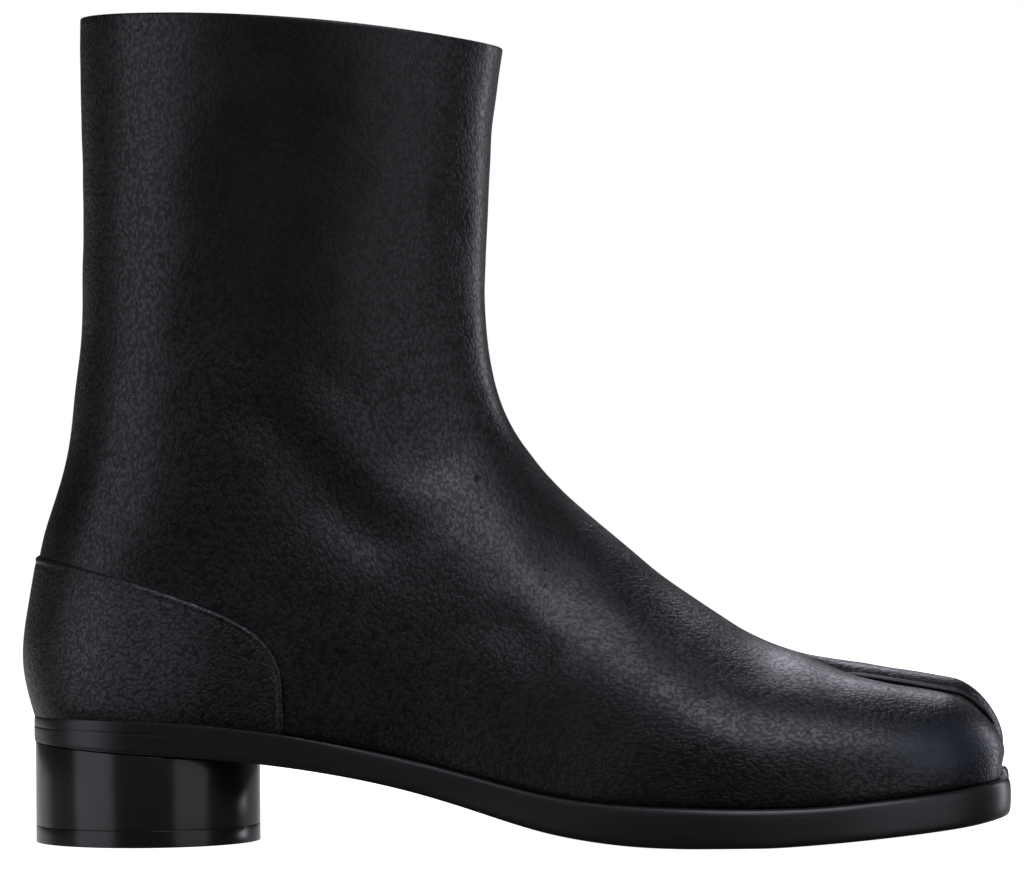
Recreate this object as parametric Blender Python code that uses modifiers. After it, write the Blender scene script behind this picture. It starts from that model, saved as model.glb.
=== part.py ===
"""Split-toe ankle boot for the right foot: upper, heel counter, insole, outsole, heel and top lift.

Sizes are millimetres in the last's own frame: x from the back of the heel to the toes, y from the
outer (little toe) side to the inner (big toe) side, z up from the floor.
"""

from collections import namedtuple
from math import copysign, cos, pi, radians, sin, sqrt

import bmesh
import bpy
import numpy as np
from mathutils import Vector

MM = 0.001
GAP = 0.3
MERGE = 0.01 * MM
PLACE_DIGITS = 7
SHARP_ANGLE = radians(36)

LATERAL = -1
MEDIAL = 1
SIDES = (LATERAL, MEDIAL)

# Upper
WALL = 1.8
COLUMNS_PER_HALF = 16
BULGE = 1.3
HEEL_BACK = 4.2
HEEL_CENTRE = 36.0
HEEL_PLAN_ROUND = 2.2
HEEL_CORNER_ROW = 12
COLLAR_ARCH = 2.3
COLLAR_ARCH_START = 16.0

# Split toe
CROTCH = 225.0
CLEFT_Y = 9.0
CLEFT_GAP = 5.0
CLEFT_ROUND = 3.0
GROOVE_START = 196.0
GROOVE_POWER = 6.0
RIDGES_APART = 246.0
LOBE_PLAN_ROUND = 2.4
LOBE_SWELL = 8.0
LOBE_FLANK = 0.2
LOBE_SIDE_ROUND = 2.0
NOSE_HEIGHT = 7.0
NOSE_LEAN = 1.6
NOSE_LEAN_POWER = 3
RIDGE_TO_TIP_POWER = 3
Lobe = namedtuple("Lobe", "tip tip_y ridge_y drift nose")
LOBES = {
    LATERAL: Lobe(tip=280.4, tip_y=-13.5, ridge_y=-14.0, drift=0.12, nose=17.0),
    MEDIAL: Lobe(tip=283.6, tip_y=25.5, ridge_y=27.0, drift=0.0, nose=13.5),
}
LobeTop = namedtuple("LobeTop", "x lateral medial")
LOBE_TOPS = (
    LobeTop(204, 62.0, 62.0),
    LobeTop(214.5, 56.3, 56.3),
    LobeTop(225, 52.2, 52.2),
    LobeTop(234, 48.5, 50.2),
    LobeTop(246, 45.0, 48.4),
    LobeTop(260, 42.3, 46.0),
    LobeTop(275, 40.2, 43.4),
    LobeTop(290, 38.4, 41.0),
)

# Plan of the line where the upper meets the sole, and how far the sole stands out past it
Plan = namedtuple("Plan", "x lateral medial flange")
PLAN = (
    Plan(0, 31.4, 31.4, 0.6),
    Plan(36, 31.6, 31.6, 0.6),
    Plan(70, 31.2, 29.6, 1.0),
    Plan(100, 32.2, 26.8, 1.6),
    Plan(130, 36.2, 27.6, 2.2),
    Plan(160, 42.6, 34.4, 2.6),
    Plan(185, 46.6, 42.4, 2.8),
    Plan(205, 47.3, 46.6, 2.8),
    Plan(225, 45.4, 47.4, 2.8),
    Plan(245, 43.3, 47.2, 2.8),
)
TIP_FLANGE = 2.2
CLEFT_FLANGE = 0.5
CROTCH_FLANGE = 0.6

# Sole: height of its top (the seat of the upper) and of its underside along the foot
SoleLine = namedtuple("SoleLine", "x seat tread")
SOLE_LINES = (
    SoleLine(0, 36.4, 29.3),
    SoleLine(20, 36.2, 27.7),
    SoleLine(40, 35.6, 26.1),
    SoleLine(60, 33.8, 24.5),
    SoleLine(77, 31.5, 22.5),
    SoleLine(94, 28.5, 19.7),
    SoleLine(112, 24.7, 15.7),
    SoleLine(130, 20.1, 10.4),
    SoleLine(148, 15.4, 4.9),
    SoleLine(164, 12.9, 1.8),
    SoleLine(180, 11.8, 0.3),
    SoleLine(190, 11.4, 0.0),
    SoleLine(212, 11.0, 0.0),
    SoleLine(226, 11.3, 0.7),
    SoleLine(244, 12.7, 2.1),
    SoleLine(262, 14.5, 3.8),
    SoleLine(274, 16.1, 5.3),
    SoleLine(288, 18.4, 8.2),
)
SOLE_COLUMNS = 3
SOLE_ROWS = 22
SOLE_HEEL_ROWS = 7
# Side of the sole: depth as a share of its thickness, how far it swells, how far it steps in at the heel
SoleEdge = namedtuple("SoleEdge", "depth swell heel_step")
SOLE_EDGE = (
    SoleEdge(0.10, 0.75, 0.0),
    SoleEdge(0.46, 1.0, 0.0),
    SoleEdge(0.54, 1.0, 0.5),
    SoleEdge(0.88, 0.75, 0.5),
)
SOLE_SWELL = 1.1
CLEFT_SWELL = 0.3
HEEL_STEP_END = 70.0
HEEL_STEP_FADE = 45.0

# Insole
INSOLE_THICK = 2.6
INSOLE_CLEARANCE = 0.8
INSOLE_CROTCH_CLEARANCE = 1.9
INSOLE_COLUMNS = 2

# Heel
HEEL_RADIUS = 32.3
HEEL_SEGMENTS = 56
HEEL_BEVEL = 0.6
LIFT_THICK = 4.8

# Heel counter
COUNTER_THICK = 0.8
COUNTER_ROWS = (6.5, 17.0)
COUNTER_HALF_REACH = 60.0
CounterEdge = namedtuple("CounterEdge", "x z")
COUNTER_EDGE = (
    CounterEdge(-6.0, 84.0),
    CounterEdge(5.0, 82.2),
    CounterEdge(27.0, 77.2),
    CounterEdge(45.0, 71.4),
    CounterEdge(61.5, 64.8),
    CounterEdge(70.6, 58.6),
    CounterEdge(75.2, 51.5),
    CounterEdge(76.6, 41.7),
    CounterEdge(76.6, 31.0),
)
COUNTER_EDGE_POINTS = 26
COUNTER_SEAT_STEP = 8.0

# Sections of the upper, each from a base point on the sole or up the back to a top point on the front;
# the surface starts at the second row, the crotch of the split toe, and the first one steers its slope.
# rise: height of the base point up the back; swell: height over the sole where the side is fullest;
# flank: share of the section where the side starts to round over; back_centre: x where the back's round ends
SECTION_FIELDS = "base_x rise top_x top_z ridge_y lateral medial swell flank round back_centre"
Section = namedtuple("Section", SECTION_FIELDS)
SECTIONS = (
    Section(240, 0, 240.0, 48.0, 9.0, 45.0, 48.6, 8, 0.20, 2.0, 36),
    Section(225, 0, 225.0, 52.2, 9.0, 46.7, 48.7, 8, 0.20, 2.0, 36),
    Section(210, 0, 214.5, 56.3, 8.5, 48.3, 48.6, 9, 0.20, 2.0, 36),
    Section(194, 0, 204.5, 62.0, 7.5, 48.5, 46.2, 10, 0.20, 2.0, 36),
    Section(177, 0, 194.5, 68.3, 6.2, 47.0, 41.6, 12, 0.20, 2.0, 36),
    Section(158, 0, 183.5, 76.3, 4.8, 43.4, 36.4, 14, 0.21, 2.0, 36),
    Section(138, 0, 172.5, 85.6, 3.4, 39.0, 32.4, 16, 0.23, 2.0, 36),
    Section(116, 0, 161.5, 95.2, 2.2, 35.4, 30.8, 18, 0.25, 2.05, 36),
    Section(92, 0, 151.9, 104.9, 1.2, 34.0, 31.2, 18, 0.26, 2.1, 36),
    Section(66, 0, 145.0, 113.4, 0.6, 33.6, 32.4, 18, 0.26, 2.15, 36),
    Section(40, 0, 140.5, 120.7, 0.2, 33.6, 33.4, 18, 0.26, 2.15, 36),
    Section(17, 0, 137.7, 127.8, 0.0, 33.7, 33.7, 18, 0.26, 2.15, 36),
    Section(HEEL_BACK, 0, 135.9, 134.6, 0.0, 33.8, 33.8, 18, 0.27, 2.15, 36),
    Section(1.1, 14.0, 134.8, 142.2, 0.0, 33.8, 33.8, 18, 0.28, 2.15, 37),
    Section(2.9, 33.0, 134.2, 150.7, 0.0, 33.6, 33.6, 18, 0.30, 2.15, 40),
    Section(6.4, 50.5, 134.1, 160.2, 0.0, 33.2, 33.2, 18, 0.34, 2.1, 46),
    Section(11.6, 67.5, 134.5, 170.6, 0.0, 33.0, 33.0, 18, 0.38, 2.1, 54),
    Section(14.9, 86.0, 135.1, 181.2, 0.0, 33.0, 33.0, 18, 0.42, 2.1, 62),
    Section(17.4, 107.0, 135.8, 191.9, 0.0, 33.4, 33.4, 18, 0.45, 2.1, 68),
    Section(18.3, 129.0, 136.6, 202.0, 0.0, 34.0, 34.0, 18, 0.47, 2.1, 72),
    Section(18.3, 153.0, 137.5, 211.0, 0.0, 34.7, 34.7, 18, 0.49, 2.1, 75),
    Section(18.1, 176.4, 138.5, 219.9, 0.0, 35.4, 35.4, 18, 0.50, 2.1, 77),
    Section(17.8, 200.4, 139.7, 227.7, 0.0, 36.0, 36.0, 18, 0.50, 2.1, 78),
)
BACK_ROUND = 2.2
INNER_POWER = 2.2
CURVE_STEPS = 60
LOBE_ROWS = 13
TIP_ROW_SHARE = 0.996
# Grid rows over the section table: close together at the crotch and where the heel turns up the back
RowRun = namedtuple("RowRun", "first last step")
CROTCH_ROWS = (1.0, 1.07, 1.16, 1.3, 1.5, 1.75)
ROW_RUNS = (
    RowRun(2.0, 11.0, 0.5),
    RowRun(11.0, 13.0, 0.25),
    RowRun(13.0, 17.0, 0.5),
    RowRun(17.0, 22.0, 1.0),
)
SPLIT_BLEND_ROW = 3.0

Finish = namedtuple("Finish", "red green blue roughness")
FINISHES = {
    "upper": Finish(0.012, 0.012, 0.016, 0.45),
    "heel_counter": Finish(0.012, 0.012, 0.015, 0.42),
    "insole": Finish(0.020, 0.018, 0.017, 0.6),
    "outsole": Finish(0.010, 0.010, 0.012, 0.32),
    "heel_block": Finish(0.011, 0.010, 0.009, 0.2),
    "heel_top_lift": Finish(0.013, 0.012, 0.012, 0.4),
}


def spline(places, values):
    """Return the natural cubic spline through the given places and values, as a function."""
    place = np.asarray(places, dtype=float)
    value = np.asarray(values, dtype=float)
    step = np.diff(place)
    count = len(place)
    matrix = np.eye(count)
    target = np.zeros(count)
    for row in range(1, count - 1):
        matrix[row, row - 1:row + 2] = step[row - 1], 2 * (step[row - 1] + step[row]), step[row]
        rise_after = (value[row + 1] - value[row]) / step[row]
        rise_before = (value[row] - value[row - 1]) / step[row - 1]
        target[row] = 6 * (rise_after - rise_before)
    bend = np.linalg.solve(matrix, target)

    def at(where):
        row = int(np.clip(np.searchsorted(place, where) - 1, 0, count - 2))
        width = step[row]
        after = where - place[row]
        before = place[row + 1] - where
        cubic = (bend[row] * before ** 3 + bend[row + 1] * after ** 3) / (6 * width)
        low = value[row] / width - bend[row] * width / 6
        high = value[row + 1] / width - bend[row + 1] * width / 6
        return float(cubic + low * before + high * after)

    return at


def table_splines(rows, key):
    """Return a spline for each column of a table, over the key column or over the row numbers."""
    fields = rows[0]._fields
    places = [getattr(row, key) for row in rows] if key else range(len(rows))
    return {field: spline(places, [getattr(row, field) for row in rows]) for field in fields if field != key}


PLAN_AT = table_splines(PLAN, "x")
SOLE_AT = table_splines(SOLE_LINES, "x")
LOBE_TOP_AT = table_splines(LOBE_TOPS, "x")
SECTION_AT = table_splines(SECTIONS, None)
# The back of the heel and shaft over its height
BACK_SECTIONS = SECTIONS[HEEL_CORNER_ROW:]
BACK_LEVELS = [SOLE_AT["seat"](HEEL_BACK) + GAP + section.rise for section in BACK_SECTIONS]
BACK_AT = spline(BACK_LEVELS, [section.base_x for section in BACK_SECTIONS])
BACK_CENTRE_AT = spline(BACK_LEVELS, [section.back_centre for section in BACK_SECTIONS])


def clamp(value):
    return min(1.0, max(0.0, value))


def smooth_step(value):
    share = clamp(value)
    return share * share * (3 - 2 * share)


def rounded(share, power):
    """Height of a unit superellipse quarter at a share of its length."""
    return (1 - clamp(share) ** power) ** (1 / power)


def seat(x):
    return SOLE_AT["seat"](x)


def tread(x):
    return max(0.0, SOLE_AT["tread"](x))


# How far a plan stands out past the upper's base line: its sides (a function of x), tips, cleft and crotch
Rim = namedtuple("Rim", "side tip cleft crotch")
UPPER_RIM = Rim(lambda x: 0.0, 0.0, 0.0, 0.0)
SOLE_RIM = Rim(PLAN_AT["flange"], TIP_FLANGE, CLEFT_FLANGE, CROTCH_FLANGE)
INSOLE_INSET = WALL + INSOLE_CLEARANCE
INSOLE_RIM = Rim(lambda x: -INSOLE_INSET, -INSOLE_INSET, -INSOLE_INSET, -WALL - INSOLE_CROTCH_CLEARANCE)


def side_width(x, side, rim):
    """Half-width of a plan behind the split."""
    field = "medial" if side == MEDIAL else "lateral"
    margin = rim.side(x)
    heel_length = HEEL_CENTRE - HEEL_BACK + margin
    heel = rounded((HEEL_CENTRE - x) / heel_length, HEEL_PLAN_ROUND)
    return (PLAN_AT[field](x) + margin) * heel


def lobe_x(share, side, rim):
    """x at a share of a lobe's length, 0 at the crotch and 1 at the tip."""
    crotch = CROTCH + rim.crotch
    return crotch + (LOBES[side].tip + rim.tip - crotch) * share


def lobe_edges(share, side, rim):
    """Outer and inner y of one toe lobe's plan at a share of its length."""
    lobe = LOBES[side]
    length = lobe_x(1.0, side, rim) - lobe_x(0.0, side, rim)
    outer = side * side_width(lobe_x(0.0, side, rim), side, rim)
    inner = CLEFT_Y + side * (CLEFT_GAP / 2 - rim.cleft)
    middle = (outer + inner) / 2
    half = abs(outer - inner) / 2
    drift = lobe.drift * length
    centre = middle + drift * share + (lobe.tip_y - middle - drift) * share ** 2
    reach = half * rounded(share, LOBE_PLAN_ROUND)
    round_share = clamp(share * length / CLEFT_ROUND)
    split = sqrt(1 - (1 - round_share) ** 2)
    inner_y = CLEFT_Y + (centre - side * reach - CLEFT_Y) * split
    return centre + side * reach, inner_y


def along_curve(points, count):
    """Spread count + 1 points evenly along a polyline."""
    chain = np.asarray(points)
    lengths = np.concatenate(([0.0], np.cumsum(np.linalg.norm(np.diff(chain, axis=0), axis=1))))
    places = np.linspace(0.0, lengths[-1], count + 1)
    return np.stack([np.interp(places, lengths, chain[:, axis]) for axis in range(3)], axis=1)


# One half of a cross-section: its base, top and cleft points in the x-z plane, the y of its side as a
# function of x and z, the y of its ridge and cleft, where and how it rounds over, and its lift at the side
Half = namedtuple("Half", "base top inner side_y ridge_y inner_y flank round arch")


def half_curve(half):
    """Points from the sole line up the side, over the ridge and down into the cleft."""
    base, top, inner = (np.asarray(point, dtype=float) for point in (half.base, half.top, half.inner))
    points = []
    for step in range(CURVE_STEPS + 1):
        share = 0.5 - 0.5 * cos(pi * step / CURVE_STEPS)
        x, z = base + (top - base) * share
        outer = rounded((share - half.flank) / (1 - half.flank), half.round)
        y = half.side_y(x, z) * outer + half.ridge_y * (1 - outer)
        points.append((x, z + half.arch * sin(pi * share), y))
    for step in range(1, CURVE_STEPS + 1):
        turn = 0.5 * pi * step / CURVE_STEPS
        share = 1 - max(0.0, cos(turn)) ** (2 / INNER_POWER)
        y = half.ridge_y + (half.inner_y - half.ridge_y) * sin(turn) ** (2 / INNER_POWER)
        points.append((*(top + (inner - top) * share), y))
    return [Vector((x, y, z)) for x, z, y in along_curve(points, COLUMNS_PER_HALF)]


def side_swell(x, z, height):
    """How full the side is at a height over the sole, from 0 at the base line to 1."""
    short = 1 - clamp((z - seat(x) - GAP) / height)
    return sqrt(1 - short * short)


def ridge(x, side, meeting_y):
    """y of a half's ridge: on the shared crown behind the split, spreading to the lobe's own ridge."""
    apart = smooth_step((x - GROOVE_START) / (RIDGES_APART - GROOVE_START))
    return meeting_y + (LOBES[side].ridge_y - meeting_y) * apart


def lobe_half(share, side):
    """Half-section of one toe lobe, share 0 at the crotch and 1 at the tip."""
    lobe = LOBES[side]
    x = lobe_x(share, side, UPPER_RIM)
    nose = clamp((x - lobe.tip) / lobe.nose + 1)
    base = (x, seat(x) + GAP)
    nose_z = base[1] + NOSE_HEIGHT
    crown = LOBE_TOP_AT["medial" if side == MEDIAL else "lateral"](x)
    top = (x + NOSE_LEAN * nose ** NOSE_LEAN_POWER, nose_z + (crown - nose_z) * sqrt(1 - nose ** 2))
    outer_y, inner_y = lobe_edges(share, side, UPPER_RIM)
    bulge = side * BULGE * rounded(share, LOBE_PLAN_ROUND)
    ridge_y = ridge(x, side, CLEFT_Y)
    ridge_y += (lobe.tip_y - ridge_y) * share ** RIDGE_TO_TIP_POWER

    def side_y(_, z):
        return outer_y + bulge * side_swell(x, z, LOBE_SWELL)

    return Half(base, top, base, side_y, ridge_y, inner_y, LOBE_FLANK, LOBE_SIDE_ROUND, 0.0)


def back_round(x, z):
    """Share of the full width left where the back of the heel and shaft rounds off."""
    level = max(z, BACK_LEVELS[0])
    centre = BACK_CENTRE_AT(level)
    return rounded((centre - x) / (centre - BACK_AT(level)), BACK_ROUND)


def base_row(row):
    """Row that the base point is taken from: it slows to a stop where the base line turns up the back."""
    away = row - HEEL_CORNER_ROW
    near = min(1.0, abs(away))
    eased = 2 * near ** 2 - near ** 3
    return HEEL_CORNER_ROW + (away if near == 1.0 else copysign(eased, away))


def body_half(row, side):
    """Half-section of the foot or shaft at a row of the section table, which may lie between two rows."""
    value = {field: SECTION_AT[field](row) for field in Section._fields}
    field = "medial" if side == MEDIAL else "lateral"
    on_sole = row < HEEL_CORNER_ROW
    base_z = BACK_LEVELS[0] + max(0.0, SECTION_AT["rise"](base_row(row)))
    base_x = SECTION_AT["base_x"](base_row(row)) if on_sole else BACK_AT(base_z)
    base = np.array((base_x, seat(base_x) + GAP if on_sole else base_z))
    crown = np.array((value["top_x"], value["top_z"]))
    depth = clamp((base_x - GROOVE_START) / (CROTCH - GROOVE_START)) ** GROOVE_POWER
    inner = crown + (base - crown) * depth
    near_split = smooth_step((SPLIT_BLEND_ROW - row) / (SPLIT_BLEND_ROW - CROTCH_ROWS[0]))
    lobe_z = LOBE_TOP_AT[field](value["top_x"])
    top = crown + np.array((0.0, (lobe_z - value["top_z"]) * near_split))
    ridge_y = ridge(base_x, side, value["ridge_y"])
    arch = COLLAR_ARCH * clamp((row - COLLAR_ARCH_START) / (len(SECTIONS) - 1 - COLLAR_ARCH_START)) ** 2

    def side_y(x, z):
        plan = PLAN_AT[field](min(x, CROTCH))
        full = plan + (value[field] - plan) * side_swell(x, z, value["swell"])
        return side * full * back_round(x, z)

    return Half(base, top, inner, side_y, ridge_y, value["ridge_y"], value["flank"], value["round"], arch)


def section_points(halves):
    """One grid row: up the outer half to the middle, then down the inner half."""
    lateral, medial = (half_curve(half) for half in halves)
    return lateral + medial[::-1]


def row_numbers():
    """Places of the grid rows in the section table, from the crotch to the collar."""
    numbers = list(CROTCH_ROWS)
    for run in ROW_RUNS:
        count = round((run.last - run.first) / run.step)
        numbers += [run.first + run.step * step for step in range(count)]
    return numbers + [ROW_RUNS[-1].last]


def body_rows(first, last):
    numbers = [number for number in row_numbers() if first <= number <= last]
    return [section_points([body_half(number, side) for side in SIDES]) for number in numbers]


def lobe_shares():
    """Shares of a lobe's length for its rows, from the tip towards the crotch, closer at both ends."""
    spread = LOBE_ROWS - 1
    return [1.0, TIP_ROW_SHARE] + [0.5 + 0.5 * cos(pi * step / spread) for step in range(1, spread)]


def lobe_rows():
    return [section_points([lobe_half(share, side) for side in SIDES]) for share in lobe_shares()]


def grid_mesh(rows, split_rows):
    """Bend a grid onto rows of points, and open the cleft over the first rows."""
    mesh = bmesh.new()
    last_row = len(rows) - 1
    last_column = len(rows[0]) - 1
    bmesh.ops.create_grid(mesh, x_segments=last_row, y_segments=last_column, size=1)
    place = {}
    for vert in mesh.verts:
        row = round((vert.co.x + 1) / 2 * last_row)
        column = round((vert.co.y + 1) / 2 * last_column)
        place[vert] = row, column
    middle = last_column // 2
    cleft = [face for face in mesh.faces
             if all(place[vert][1] in (middle, middle + 1) and place[vert][0] <= split_rows
                    for vert in face.verts)]
    for vert, (row, column) in place.items():
        vert.co = rows[row][column] * MM
    bmesh.ops.delete(mesh, geom=cleft, context="FACES")
    bmesh.ops.remove_doubles(mesh, verts=mesh.verts, dist=MERGE)
    bmesh.ops.dissolve_degenerate(mesh, edges=mesh.edges, dist=MERGE)
    bmesh.ops.triangulate(mesh, faces=mesh.faces, quad_method="SHORT_EDGE")
    return mesh


def face_outward(mesh):
    """Make all faces agree and look out: the outermost one on the little-toe side looks that way."""
    bmesh.ops.recalc_face_normals(mesh, faces=mesh.faces)
    probe = min(mesh.faces, key=lambda face: face.calc_center_median().y)
    if probe.normal.y > 0:
        bmesh.ops.reverse_faces(mesh, faces=mesh.faces)
    mesh.normal_update()


def add_object(name, mesh, collection, parent):
    """Turn a bmesh into a named object of the boot."""
    data = bpy.data.meshes.new(name)
    mesh.to_mesh(data)
    mesh.free()
    part = bpy.data.objects.new(name, data)
    collection.objects.link(part)
    part.parent = parent
    if name in FINISHES:
        data.materials.append(make_material(name))
        data.shade_smooth()
        data.set_sharp_from_angle(angle=SHARP_ANGLE)
    return part


def make_material(name):
    finish = FINISHES[name]
    material = bpy.data.materials.new(name)
    material.use_nodes = True
    shader = material.node_tree.nodes["Principled BSDF"]
    shader.inputs["Base Color"].default_value = (finish.red, finish.green, finish.blue, 1.0)
    shader.inputs["Roughness"].default_value = finish.roughness
    shader.inputs["Metallic"].default_value = 0.0
    return material


def add_shell(part, thickness, offset):
    """Give an open surface its wall."""
    solidify = part.modifiers.new("wall", "SOLIDIFY")
    solidify.thickness = thickness * MM
    solidify.offset = offset
    solidify.use_rim = True
    solidify.use_quality_normals = True


def build_upper(collection, parent):
    """The whole vamp, quarters and shaft, open at the collar and underneath."""
    mesh = grid_mesh(lobe_rows() + body_rows(0, len(SECTIONS)), LOBE_ROWS)
    face_outward(mesh)
    part = add_object("upper", mesh, collection, parent)
    add_shell(part, WALL, -1)
    return part


def counter_outline():
    """Side outline of the heel counter: its upper edge, then back along the seat of the sole."""
    chords = [0.0]
    for before, after in zip(COUNTER_EDGE, COUNTER_EDGE[1:]):
        chords.append(chords[-1] + sqrt((after.x - before.x) ** 2 + (after.z - before.z) ** 2))
    edge_x = spline(chords, [point.x for point in COUNTER_EDGE])
    edge_z = spline(chords, [point.z for point in COUNTER_EDGE])
    front = COUNTER_EDGE[-1].x
    back = COUNTER_EDGE[0].x
    outline = []
    for step in range(COUNTER_EDGE_POINTS):
        chord = chords[-1] * step / COUNTER_EDGE_POINTS
        if edge_z(chord) > seat(front) + COUNTER_SEAT_STEP / 2:
            outline.append((edge_x(chord), edge_z(chord)))
    seat_steps = round((front - back) / COUNTER_SEAT_STEP)
    for step in range(seat_steps + 1):
        x = front + (back - front) * step / seat_steps
        outline.append((x, seat(max(0.0, x)) + GAP))
    return outline


def build_counter_prism(collection, parent):
    """The counter's side outline drawn out across the boot, to cut the counter from its shell."""
    mesh = bmesh.new()
    verts = [mesh.verts.new((x * MM, -COUNTER_HALF_REACH * MM, z * MM)) for x, z in counter_outline()]
    face = mesh.faces.new(verts)
    drawn = bmesh.ops.extrude_face_region(mesh, geom=[face])
    moved = [item for item in drawn["geom"] if isinstance(item, bmesh.types.BMVert)]
    bmesh.ops.translate(mesh, verts=moved, vec=(0.0, 2 * COUNTER_HALF_REACH * MM, 0.0))
    bmesh.ops.recalc_face_normals(mesh, faces=mesh.faces)
    prism = add_object("counter_prism", mesh, collection, parent)
    prism.hide_render = True
    prism.display_type = "WIRE"
    return prism


def build_counter(collection, parent, prism):
    """The counter: a second skin just off the upper, cut to its side outline."""
    mesh = grid_mesh(body_rows(*COUNTER_ROWS), -1)
    face_outward(mesh)
    shifts = {vert: vert.normal * GAP * MM for vert in mesh.verts}
    for vert, shift in shifts.items():
        vert.co += shift
    part = add_object("heel_counter", mesh, collection, parent)
    add_shell(part, COUNTER_THICK, 1)
    cut = part.modifiers.new("outline", "BOOLEAN")
    cut.operation = "INTERSECT"
    cut.object = prism
    return part


def centre_line(x):
    """y of the middle column of a sole sheet, from the heel's middle to the cleft."""
    return CLEFT_Y * smooth_step((x - HEEL_CENTRE) / (CROTCH - HEEL_CENTRE))


def sole_stations(rim):
    """x of the rows of a sole sheet behind the split, from the crotch to the back of the heel."""
    crotch = CROTCH + rim.crotch
    heel_length = HEEL_CENTRE - HEEL_BACK + rim.side(0.0)
    middle = np.linspace(crotch, HEEL_CENTRE, SOLE_ROWS, endpoint=False)
    turns = [0.5 * pi * step / SOLE_HEEL_ROWS for step in range(SOLE_HEEL_ROWS + 1)]
    return list(middle) + [HEEL_CENTRE - heel_length * sin(turn) for turn in turns]


def sheet_row(x_pair, edges, columns):
    """One row of a sole sheet: across the outer half, then across the inner half."""
    row = []
    for side, x, (outer, inner) in zip(SIDES, x_pair, edges):
        half = [Vector((x, outer + (inner - outer) * step / columns, 0.0)) for step in range(columns + 1)]
        row += half if side == LATERAL else half[::-1]
    return row


def sole_sheet(rim, columns):
    """Flat plan of a sole with its split toe."""
    rows = []
    for share in lobe_shares():
        x_pair = [lobe_x(share, side, rim) for side in SIDES]
        edges = [lobe_edges(share, side, rim) for side in SIDES]
        rows.append(sheet_row(x_pair, edges, columns))
    for x in sole_stations(rim):
        edges = [(side * side_width(x, side, rim), centre_line(x)) for side in SIDES]
        rows.append(sheet_row((x, x), edges, columns))
    return grid_mesh(rows, LOBE_ROWS)


def draw_down(mesh, top_at, bottom_at):
    """Turn a flat sheet into a solid between two height lines."""
    top = list(mesh.verts)
    drawn = bmesh.ops.extrude_face_region(mesh, geom=list(mesh.faces), use_keep_orig=True)
    bottom = [item for item in drawn["geom"] if isinstance(item, bmesh.types.BMVert)]
    for vert in top:
        vert.co.z = top_at(vert.co.x / MM) * MM
    for vert in bottom:
        vert.co.z = bottom_at(vert.co.x / MM) * MM
    bmesh.ops.recalc_face_normals(mesh, faces=mesh.faces)


def side_edges(mesh):
    """Upright edges of a sole solid."""
    return [edge for edge in mesh.edges
            if (edge.verts[0].co.xy - edge.verts[1].co.xy).length < MERGE]


def plan_place(point):
    return round(point.x, PLACE_DIGITS), round(point.y, PLACE_DIGITS)


def cleft_facing(place, out):
    """How squarely a spot of the sole's side looks into the cleft, 0 to 1."""
    if place.x < CROTCH * MM:
        return 0.0
    return clamp(out.y if place.y < CLEFT_Y * MM else -out.y)


def swell_side(mesh):
    """Cut rings round the sole's side and push them out to its rounded, stepped edge."""
    cuts = len(SOLE_EDGE)
    upright = side_edges(mesh)
    ends = [sorted(edge.verts, key=lambda vert: -vert.co.z) for edge in upright]
    spans = [(high.co.copy(), low.co.copy()) for high, low in ends]
    bmesh.ops.subdivide_edges(mesh, edges=upright, cuts=cuts, use_grid_fill=True)
    mesh.normal_update()
    columns = {plan_place(high): (high, low) for high, low in spans}
    moves = []
    for vert in mesh.verts:
        span = columns.get(plan_place(vert.co))
        if span is None:
            continue
        high, low = span
        depth = (high.z - vert.co.z) / (high.z - low.z)
        ring = round(depth * (cuts + 1)) - 1
        if not 0 <= ring < cuts:
            continue
        edge = SOLE_EDGE[ring]
        x = vert.co.x / MM
        heel = 1 - smooth_step((x - HEEL_STEP_END) / HEEL_STEP_FADE)
        out = Vector((vert.normal.x, vert.normal.y, 0.0)).normalized()
        swell = SOLE_SWELL * (1 - (1 - CLEFT_SWELL) * cleft_facing(vert.co, out))
        push = swell * edge.swell - edge.heel_step * heel
        height = high.z + (low.z - high.z) * edge.depth
        moves.append((vert, out * push * MM, height))
    for vert, push, height in moves:
        vert.co += push
        vert.co.z = height


def build_outsole(collection, parent):
    """The sole: split at the toe, arched at the waist, flat under the ball, with a rounded side."""
    mesh = sole_sheet(SOLE_RIM, SOLE_COLUMNS)
    draw_down(mesh, seat, tread)
    swell_side(mesh)
    return add_object("outsole", mesh, collection, parent)


def build_insole(collection, parent):
    """The insole: a thin plate on the sole, inside the upper's wall."""
    mesh = sole_sheet(INSOLE_RIM, INSOLE_COLUMNS)
    draw_down(mesh, lambda x: seat(x) + GAP + INSOLE_THICK, lambda x: seat(x) + GAP)
    return add_object("insole", mesh, collection, parent)


def heel_seat(x):
    """Slanted line just under the sole that the heel block's top follows."""
    start = tread(0.0)
    end = tread(HEEL_STEP_END)
    return start + (end - start) * x / HEEL_STEP_END - GAP


def build_heel_piece(name, low, high_at, collection, parent):
    """A round heel layer with a flat base and a top at high_at(x)."""
    mesh = bmesh.new()
    bmesh.ops.create_cone(mesh, cap_ends=True, segments=HEEL_SEGMENTS, radius1=HEEL_RADIUS * MM,
                          radius2=HEEL_RADIUS * MM, depth=1.0)
    for vert in mesh.verts:
        vert.co.x += HEEL_CENTRE * MM
        is_top = vert.co.z > 0
        vert.co.z = (high_at(vert.co.x / MM) if is_top else low) * MM
    rims = [edge for edge in mesh.edges if any(len(face.verts) > 4 for face in edge.link_faces)]
    bmesh.ops.bevel(mesh, geom=rims, offset=HEEL_BEVEL * MM, offset_type="OFFSET", segments=1,
                    profile=0.5, affect="EDGES", material=-1)
    return add_object(name, mesh, collection, parent)


def clear_scene():
    for old in list(bpy.data.objects):
        bpy.data.objects.remove(old, do_unlink=True)


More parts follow.
